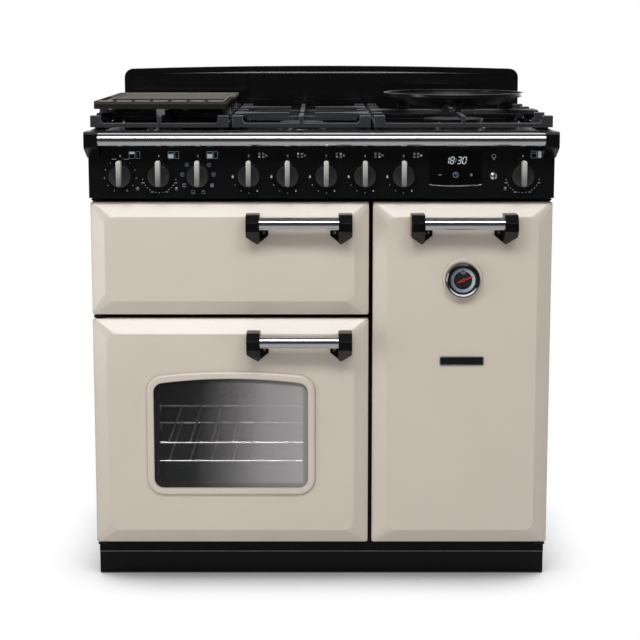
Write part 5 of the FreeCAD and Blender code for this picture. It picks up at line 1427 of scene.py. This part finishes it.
    def print_burner(self, number: int, x: float) -> None:
        """Prints a burner knob's flames, dots and the picture of the hob.

        Args:
            number: The burner's number from the left, from 0.
            x: The knob's place along the panel.
        """
        marks = self.start(f"burner_knob_{number + 1}_marks", x)
        marks.solid(moved(teardrop(4.6, 6.4), polar(-92, 31.3)))
        for angle, radius in self.burner_dots:
            marks.dot(polar(angle, radius))
        marks.solid(moved(teardrop(3.0, 4.2), polar(151, 32.8)))
        for step, place in enumerate(self.hob_picture):
            draw = marks.dot if step == number else marks.ring
            draw(place, self.hob_ring)
        marks.finish()

    def print_button(self) -> None:
        """Adds the button's collar and prints the bulb above it."""
        collar = Maker("button_collar", Facing.FRONT, (self.button, PANEL_FACE, self.level))
        collar.turned([(7.1, SUNK), (9.8, SUNK), (9.8, 0.9), (9.0, 1.6), (7.6, 1.6), (7.1, 1.2)],
                      sides=48, ring=True)
        collar.piece(CABINET, Finishes.skirt)
        bulb = Print("lamp_marks", self.button, self.level + 36.0)
        bulb.ring((0.0, 1.6), 4.0, 0.6)
        for step, width in enumerate((4.0, 3.2)):
            bulb.block(width, 0.7, (0.0, -3.4 - 1.3 * step))
        bulb.finish()

    def build_clock(self) -> None:
        """Adds the clock's lit figures, its key marks and the bright curve beneath."""
        seat = (self.screen[0], self.screen_face, self.screen[1])
        figures = Maker("clock_figures", Facing.FRONT, seat)
        Clock().add(figures, (0.0, 14.0))
        figures.piece(CABINET, Finishes.digits)
        keys = Print("clock_key_marks", *self.screen, 1.45, 1.65)
        for width, height, u in self.key_bars:
            keys.block(width, height, (u, self.key_level))
        keys.ring((0.0, self.key_level), 5.3, 0.7)
        keys.block(0.7, 3.2, (0.0, self.key_level + 1.4))
        keys.block(2.6, 0.7, (1.1, self.key_level))
        keys.finish()
        self.build_trim()

    def build_trim(self) -> None:
        """Adds the bright curve under the clock."""
        trim = Maker("clock_trim", Facing.FRONT, (self.screen[0], PANEL_FACE, self.screen[1] - self.trim_drop))
        spots = [self.trim_half * (2 * step / self.trim_steps - 1) for step in range(self.trim_steps + 1)]
        curve = [(u, -self.trim_sag * (1 - (u / self.trim_half) ** 2)) for u in spots]
        low = [(u, v - self.trim_width) for u, v in reversed(curve)]
        crest = moved(curve, (0.0, -self.trim_slope)) + moved(low, (0.0, self.trim_slope))
        trim.tapered(curve + low, crest, SUNK, self.trim_rise)
        trim.piece(CABINET, Finishes.chrome)


@dataclass
class Clock:
    """Slanted figures of seven segments."""

    text: str = "18:30"
    width: float = 6.4
    height: float = 12.6
    pitch: float = 9.6
    stroke: float = 1.25
    slant: float = 0.17
    gap: float = 0.35
    segments: tuple[str, ...] = (
        "abcdef", "bc", "abged", "abgcd", "fgbc", "afgcd", "afgedc", "abc", "abcdefg", "abcdfg")

    def add(self, maker: Maker, middle: Point) -> None:
        """Adds the lit segments to a piece.

        Args:
            maker: The piece.
            middle: The middle of the row of figures.
        """
        widths = [self.pitch * (0.45 if letter == ":" else 1.0) for letter in self.text]
        left = middle[0] - sum(widths) / 2
        for letter, width in zip(self.text, widths):
            self.add_figure(maker, letter, (left + width / 2, middle[1]))
            left += width

    def add_figure(self, maker: Maker, letter: str, middle: Point) -> None:
        """Adds one figure, or the two dots between figures.

        Args:
            maker: The piece.
            letter: The figure, or a colon.
            middle: Its middle.
        """
        half, tall, thick = self.width / 2, self.height / 2, self.stroke / 2
        if letter == ":":
            for level in (-tall * 0.4, tall * 0.4):
                self.add_bar(maker, middle, (-thick, level), (thick, level), thick)
            return
        ends = {
            "a": ((-half, tall), (half, tall)), "g": ((-half, 0.0), (half, 0.0)),
            "d": ((-half, -tall), (half, -tall)),
            "f": ((-half, tall), (-half, 0.0)), "b": ((half, tall), (half, 0.0)),
            "e": ((-half, 0.0), (-half, -tall)), "c": ((half, 0.0), (half, -tall)),
        }
        for segment in self.segments[int(letter)]:
            start, end = ends[segment]
            self.add_bar(maker, middle, start, end, thick)

    def add_bar(self, maker: Maker, middle: Point, start: Point, end: Point, thick: float) -> None:
        """Adds one segment with pointed ends.

        Args:
            maker: The piece.
            middle: The figure's middle.
            start: One end, from the figure's middle.
            end: The other end.
            thick: Half of the segment's width.
        """
        length = math.hypot(end[0] - start[0], end[1] - start[1])
        u, v = (end[0] - start[0]) / length, (end[1] - start[1]) / length
        near, far = self.gap, length - self.gap
        spots = [(near, 0.0), (near + thick, thick), (far - thick, thick),
                 (far, 0.0), (far - thick, -thick), (near + thick, -thick)]
        if length < 4 * thick:
            spots = [(0.0, -thick), (length, -thick), (length, thick), (0.0, thick)]
        outline = []
        for along, across in spots:
            x = start[0] + u * along - v * across
            y = start[1] + v * along + u * across
            outline.append((middle[0] + x + self.slant * y, middle[1] + y))
        maker.prism(outline, SUNK, 0.12)


@dataclass
class Hob:
    """The hob: its tray, burners, pan supports, griddle and wok ring."""

    burners: tuple[Place, ...] = (
        (-313.0, -125.5, 30.0), (-313.0, 113.5, 42.0), (-39.0, -125.5, 30.0), (-39.0, 113.5, 42.0),
        (274.0, -6.0, 60.0))
    port_foot: float = 894.5
    port_height: float = 4.5
    port_pitch: float = 6.5
    port_reach: Point = (-0.3, 0.15)
    port_half: float = 1.1
    griddle_x: Point = (-435.0, -191.0)
    griddle_y: Point = (-213.0, 209.0)
    griddle_floor: float = 946.0
    griddle_foot: float = 935.0
    rim: float = 9.0
    recess: float = 4.0
    ridges: int = 7
    notch: float = 6.0
    lip_gap: float = 3.0
    side_ridge: float = 4.0
    side_gap: float = 24.0
    slope: float = 2.0
    ridge_depth: Point = (-0.1, 2.0)

    def build(self) -> None:
        """Dresses the hob's solids, and adds the flame ports and the griddle's ridges."""
        dress("hob_tray", Finishes.hob)
        dress("burner_bodies", Finishes.alloy)
        dress("burner_caps", Finishes.cap)
        for side in ("left", "centre", "right"):
            dress(f"pan_support_{side}", Finishes.support)
        dress("griddle_plate", Finishes.griddle,
              (Finishes.foot, lambda middle, normal: middle.z < self.griddle_foot))
        dress("wok_ring", Finishes.wok)
        dress("front_rail", Finishes.bar)
        dress("rail_brackets", Finishes.bracket)
        self.build_ports()
        self.build_ridges()

    def build_ports(self) -> None:
        """Adds dark blocks round each burner where the flame ports are: painted shade in the slots."""
        ports = Maker("flame_ports", Facing.TOP, (0.0, 0.0, self.port_foot))
        half = self.port_half
        for x, y, radius in self.burners:
            near, far = (radius + reach for reach in self.port_reach)
            count = round(2 * math.pi * radius / self.port_pitch)
            for step in range(count):
                angle = 2 * math.pi * step / count
                out, side = (math.cos(angle), math.sin(angle)), (-math.sin(angle), math.cos(angle))
                corners = [(near, -half), (far, -half), (far, half), (near, half)]
                ports.prism([(x + out[0] * r + side[0] * s, y + out[1] * r + side[1] * s) for r, s in corners],
                            0.0, self.port_height)
        ports.piece(CABINET, Finishes.port)

    def build_ridges(self) -> None:
        """Adds the notched lip on the griddle's front rim and the ridges along its sides, pale as a painted highlight
        of the rim.
        """
        ridges = Maker("griddle_ridges", Facing.TOP, (0.0, 0.0, self.griddle_floor))
        left, right = self.griddle_x
        front, rear = self.griddle_y
        length = (right - left - self.notch * (self.ridges - 1)) / self.ridges
        for step in range(self.ridges):
            start = left + step * (length + self.notch)
            middle = (start + length / 2, front - self.rim / 2)
            self.add_ridge(ridges, middle, length, self.rim - self.lip_gap, self.recess)
        for x in (left + self.side_ridge, right - self.side_ridge):
            self.add_ridge(ridges, (x, (front + rear) / 2), self.side_ridge, rear - front - self.side_gap)
        ridges.piece("griddle", Finishes.lip)

    def add_ridge(self, maker: Maker, middle: Point, width: float, depth: float, foot: float = 0.0) -> None:
        """Adds one sloping ridge, by its middle, its sizes from side to side and front to rear, and its foot."""
        crest = oblong(width - self.slope, depth - self.slope, 0.6, middle)
        maker.tapered(oblong(width, depth, 1.2, middle), crest, *(foot + level for level in self.ridge_depth))


@dataclass
class Splashback:
    """The upright at the rear of the hob, with a bead under its top border."""

    half: float = 432.0
    top: float = 995.0
    face: float = 296.0
    width: float = 6.0
    rise: float = 1.5
    foot_gap: float = 24.0
    crest_gap: float = 26.0
    crest_width: float = 1.0

    def build(self) -> None:
        """Dresses the upright and adds the sloping bead under its top border."""
        dress("splashback", Finishes.black)
        bead = Maker("splashback_bead", Facing.FRONT, (0.0, self.face, self.top))
        foot = oblong(2 * self.half - self.foot_gap, self.width, 1.0, (0.0, -self.width / 2 - 0.4))
        crest = oblong(2 * self.half - self.crest_gap, self.crest_width, 0.3, (0.0, -self.width + 0.3))
        bead.tapered(foot, crest, SUNK, self.rise)
        bead.piece(CABINET, Finishes.bead)


@dataclass
class Casing:
    """The cabinet's sheet: sides, back, base, plinth and feet."""

    rear: float = 294.0
    side: float = 447.0
    louvres: int = 9
    louvre: Point = (150.0, 9.0)
    louvre_rise: float = 4.5
    louvre_pitch: float = 19.0
    back_sheet: float = 290.0
    pad_top: float = 8.0
    banks: tuple[Point, ...] = ((-215.0, 640.0), (215.0, 640.0), (-215.0, 220.0))
    rear_reach: float = 432.0
    rear_levels: tuple[float, ...] = (70.0, 270.0, 470.0, 670.0, 840.0)
    base_spots: tuple[Point, ...] = ((-220.0, 62.0), (0.0, 62.0), (220.0, 62.0))
    lid: Place = (-292.0, 320.0, 243.0)
    lid_reach: Point = (56.0, 36.0)
    side_middle: float = 30.0
    side_reach: float = 235.0
    side_levels: tuple[float, ...] = (70.0, 440.0, 840.0)

    def build(self) -> None:
        """Dresses the cabinet's sheet, and adds its louvres and screws."""
        dress("casing_panels", Finishes.sheet, (Finishes.back, lambda middle, normal: middle.y > self.back_sheet))
        dress("base_tray", Finishes.tray)
        dress("plinth", Finishes.plinth)
        dress("levelling_feet", Finishes.zinc,
              (Finishes.rubber, lambda middle, normal: middle.z < self.pad_top))
        dress("front_frame", Finishes.frame)
        dress("door_seals", Finishes.rubber)
        dress("hinge_brackets", Finishes.hinge)
        dress("terminal_box", Finishes.plastic)
        self.build_louvres()
        self.build_screws()

    def build_louvres(self) -> None:
        """Adds the banks of pressed louvres on the rear sheet."""
        maker = Maker("rear_louvres", Facing.BACK, (0.0, self.rear, 0.0))
        width, height = self.louvre
        for u, v in self.banks:
            for step in range(self.louvres):
                middle = (u, v + step * self.louvre_pitch)
                crest = oblong(width - 8.0, 1.6, 0.6, (middle[0], middle[1] - height / 2 + 1.2))
                maker.tapered(oblong(width, height, 4.0, middle), crest, SUNK, self.louvre_rise)
        maker.piece(CABINET, Finishes.back)

    def build_screws(self) -> None:
        """Adds the screws that hold the rear and side sheets and the terminal lid."""
        rear = [(sign * self.rear_reach, v) for v in self.rear_levels for sign in (-1, 1)]
        self.add_screws("rear_screws", Facing.BACK, (0.0, self.rear, 0.0), Screw(4.5, 2.4, 4.0),
                        rear + list(self.base_spots))
        lid = [(across * self.lid_reach[0], up * self.lid_reach[1]) for across in (-1, 1) for up in (-1, 1)]
        self.add_screws("terminal_screws", Facing.BACK, self.lid, Screw(3.6, 2.0, 3.2), lid)
        side = [(sign * self.side_reach, v) for sign in (-1, 1) for v in self.side_levels]
        for facing, x in ((Facing.LEFT, -self.side), (Facing.RIGHT, self.side)):
            self.add_screws(f"{facing.name.lower()}_side_screws", facing, (x, self.side_middle, 0.0),
                            Screw(4.0, 2.0, 3.6), side)

    @staticmethod
    def add_screws(name: str, facing: Facing, origin: Place, screw: Screw, spots: Outline) -> None:
        """Adds one sheet's screws as a piece.

        Args:
            name: The piece's name.
            facing: The way that the sheet faces.
            origin: The sheet's zero point in the cooker's frame.
            screw: The screw.
            spots: The places of the screws on the sheet.
        """
        maker = Maker(name, facing, origin)
        for spot in spots:
            screw.add(maker, spot, SUNK)
        maker.piece(CABINET, Finishes.zinc)


@dataclass(frozen=True)
class Softbox:
    """A flat studio lamp."""

    name: str
    place: Place
    aim: Place
    width: float
    depth: float
    radiance: float
    spread: float = 180.0

    def hang(self) -> None:
        """Hangs the lamp and turns it to what it lights."""
        light = bpy.data.lights.new(self.name, "AREA")
        light.shape = "RECTANGLE"
        light.size, light.size_y = self.width, self.depth
        light.energy = self.radiance * math.pi * self.width * self.depth
        light.spread = math.radians(self.spread)
        holder = bpy.data.objects.new(self.name, light)
        holder.location = self.place
        holder.rotation_euler = (Vector(self.aim) - Vector(self.place)).to_track_quat("-Z", "Y").to_euler()
        holder.visible_camera = False
        bpy.context.collection.objects.link(holder)


@dataclass
class Chambers:
    """The insides of the ovens and the grill."""

    strip: Softbox = Softbox(
        "oven_strip_light", (-0.178, -0.226, 0.484), (-0.178, -0.12, 0.243), 0.42, 0.012, 30.0, 82.0)
    lamp_glass: Place = (-350.0, 172.5, 440.0)

    def build(self) -> None:
        """Dresses the liners, shelves, fans and elements, and lights the left oven."""
        for liner in ("grill_liner", "left_oven_liner", "right_oven_liner", "fan_covers"):
            dress(liner, Finishes.oven)
        dress("oven_shelves", Finishes.wire)
        dress("fan_motors", Finishes.zinc)
        for fan in ("left_fan_impeller", "right_fan_impeller"):
            dress(fan, Finishes.impeller)
        dress("heating_elements", Finishes.element)
        dress("grill_pan", Finishes.pan)
        glass = Maker("oven_lamp_glass", Facing.FRONT, self.lamp_glass)
        glass.turned([(0.0, SUNK), (24.0, SUNK), (24.0, 3.0), (20.0, 5.0), (17.0, 11.0), (9.0, 15.0), (0.0, 16.0)])
        glass.piece(CABINET, Finishes.lamp)
        self.strip.hang()


@dataclass
class Studio:
    """The pale floor, the white surroundings, the lamps and the camera."""

    eye: Place = (-0.0029, -3.373, 1.0928)
    tilt: float = 81.601
    lens: float = 90.793
    shift: float = -0.085
    sensor: float = 36.0
    floor: float = 8.0
    shadow_reach: float = 0.18
    shadow_span: Point = (0.15, 0.9)
    ambient: float = 0.285
    overhead: Point = (0.7, 0.85)
    behind: Point = (0.1, 0.7)
    mirrored: Place = (0.05, 0.07, 0.88)
    foreground: Point = (-3.0, -0.8)
    mirrored_floor: Point = (0.04, 0.42)
    lamps: tuple[Softbox, ...] = (
        Softbox("top_softbox", (0.0, -2.06, 2.49), (0.0, -0.3, 0.7), 2.6, 0.6, 11.4),
        Softbox("left_softbox", (-2.4, -1.35, 0.7), (0.0, -0.3, 0.5), 0.6, 1.8, 4.3),
        Softbox("rear_softbox", (2.0, 2.6, 1.0), (0.0, 0.2, 0.5), 1.6, 1.4, 3.0),
    )

    def build(self) -> None:
        """Sets up the whole studio."""
        bpy.context.scene.view_settings.view_transform = "Standard"
        for lamp in self.lamps:
            lamp.hang()
        self.build_world()
        self.build_floor()
        self.build_camera()

    def build_world(self) -> None:
        """Makes the surroundings: white to the eye; mirrored dark in front, grey overhead and white behind."""
        world = bpy.data.worlds.new("studio")
        bpy.context.scene.world = world
        graph = Graph(world)
        heading = graph.node("ShaderNodeTexCoord", output="Generated")
        depth = graph.node("ShaderNodeSeparateXYZ", None, {0: heading}, Axis.Y.value)
        height = graph.node("ShaderNodeSeparateXYZ", None, {0: heading}, Axis.Z.value)
        seen, glossy = graph.sight()
        front, top, rear = self.mirrored
        mirrored = front + graph.fade(height, *self.overhead) * top + graph.fade(depth, *self.behind) * rear
        level = seen + glossy * mirrored + (1 - (seen | glossy)) * self.ambient
        dark, white = (graph.node("ShaderNodeBackground", None, {"Color": colour}) for colour in (BLACK, WHITE))
        graph.node("ShaderNodeOutputWorld", None, {
            "Surface": graph.node("ShaderNodeMixShader", None, {0: level, 1: dark, 2: white})})

    def build_floor(self) -> None:
        """Lays the floor: white to the eye, with a painted soft shadow under the cooker from ambient occlusion."""
        mesh = bpy.data.meshes.new("studio_floor")
        half = self.floor
        mesh.from_pydata([(-half, -half, 0), (half, -half, 0), (half, half, 0), (-half, half, 0)], [], [(0, 1, 2, 3)])
        floor = bpy.data.objects.new("studio_floor", mesh)
        bpy.context.collection.objects.link(floor)
        material = bpy.data.materials.new("studio_floor")
        graph = Graph(material)
        # Painted shadow: ambient occlusion darkens the floor's emission near the cooker, in place of the lamps' own
        # shadow.
        open_sky = graph.node("ShaderNodeAmbientOcclusion", {"samples": 16}, {"Distance": self.shadow_reach}, "AO")
        shadow = graph.fade(open_sky, *self.shadow_span)
        seen, glossy = graph.sight()
        dark, shaded, white = (
            graph.node("ShaderNodeEmission", None, {"Color": colour}) for colour in (BLACK, grey(0.3), WHITE))
        ground = graph.node("ShaderNodeMixShader", None, {0: shadow, 1: shaded, 2: white})
        near = graph.fade(graph.along(Axis.Y), *self.foreground)
        mirrored = self.mirrored_floor[0] + near * self.mirrored_floor[1]
        ground = graph.node("ShaderNodeMixShader", None, {0: seen + glossy * mirrored, 1: dark, 2: ground})
        lit = graph.node("ShaderNodeBsdfDiffuse", None, {"Color": grey(0.97)})
        graph.close(graph.node("ShaderNodeMixShader", None, {0: seen | glossy, 1: lit, 2: ground}))
        mesh.materials.append(material)

    def build_camera(self) -> None:
        """Stands the camera in front of the cooker."""
        camera = bpy.data.cameras.new("camera")
        camera.sensor_width = self.sensor
        camera.lens = self.lens
        camera.shift_y = self.shift
        holder = bpy.data.objects.new("camera", camera)
        holder.location = self.eye
        holder.rotation_euler = (math.radians(self.tilt), 0.0, 0.0)
        bpy.context.collection.objects.link(holder)
        bpy.context.scene.camera = holder


def main() -> None:
    """Builds each part of the cooker's looks in order, then the studio."""
    logging.basicConfig(level=logging.INFO, format="%(name)s: %(message)s")
    grill = Door("grill_door", Handle("grill_door", middle=-43.0, level=721.0))
    oven = OvenDoor("oven_door", Handle("oven_door", middle=-43.0, level=491.0))
    tall = TallDoor("right_door", Handle("right_door", middle=274.0, level=721.0))
    for part in (Casing(), Chambers(), grill, oven, tall, ControlPanel(), Hob(), Splashback(), Studio()):
        part.build()


if __name__ == "__main__":
    main()
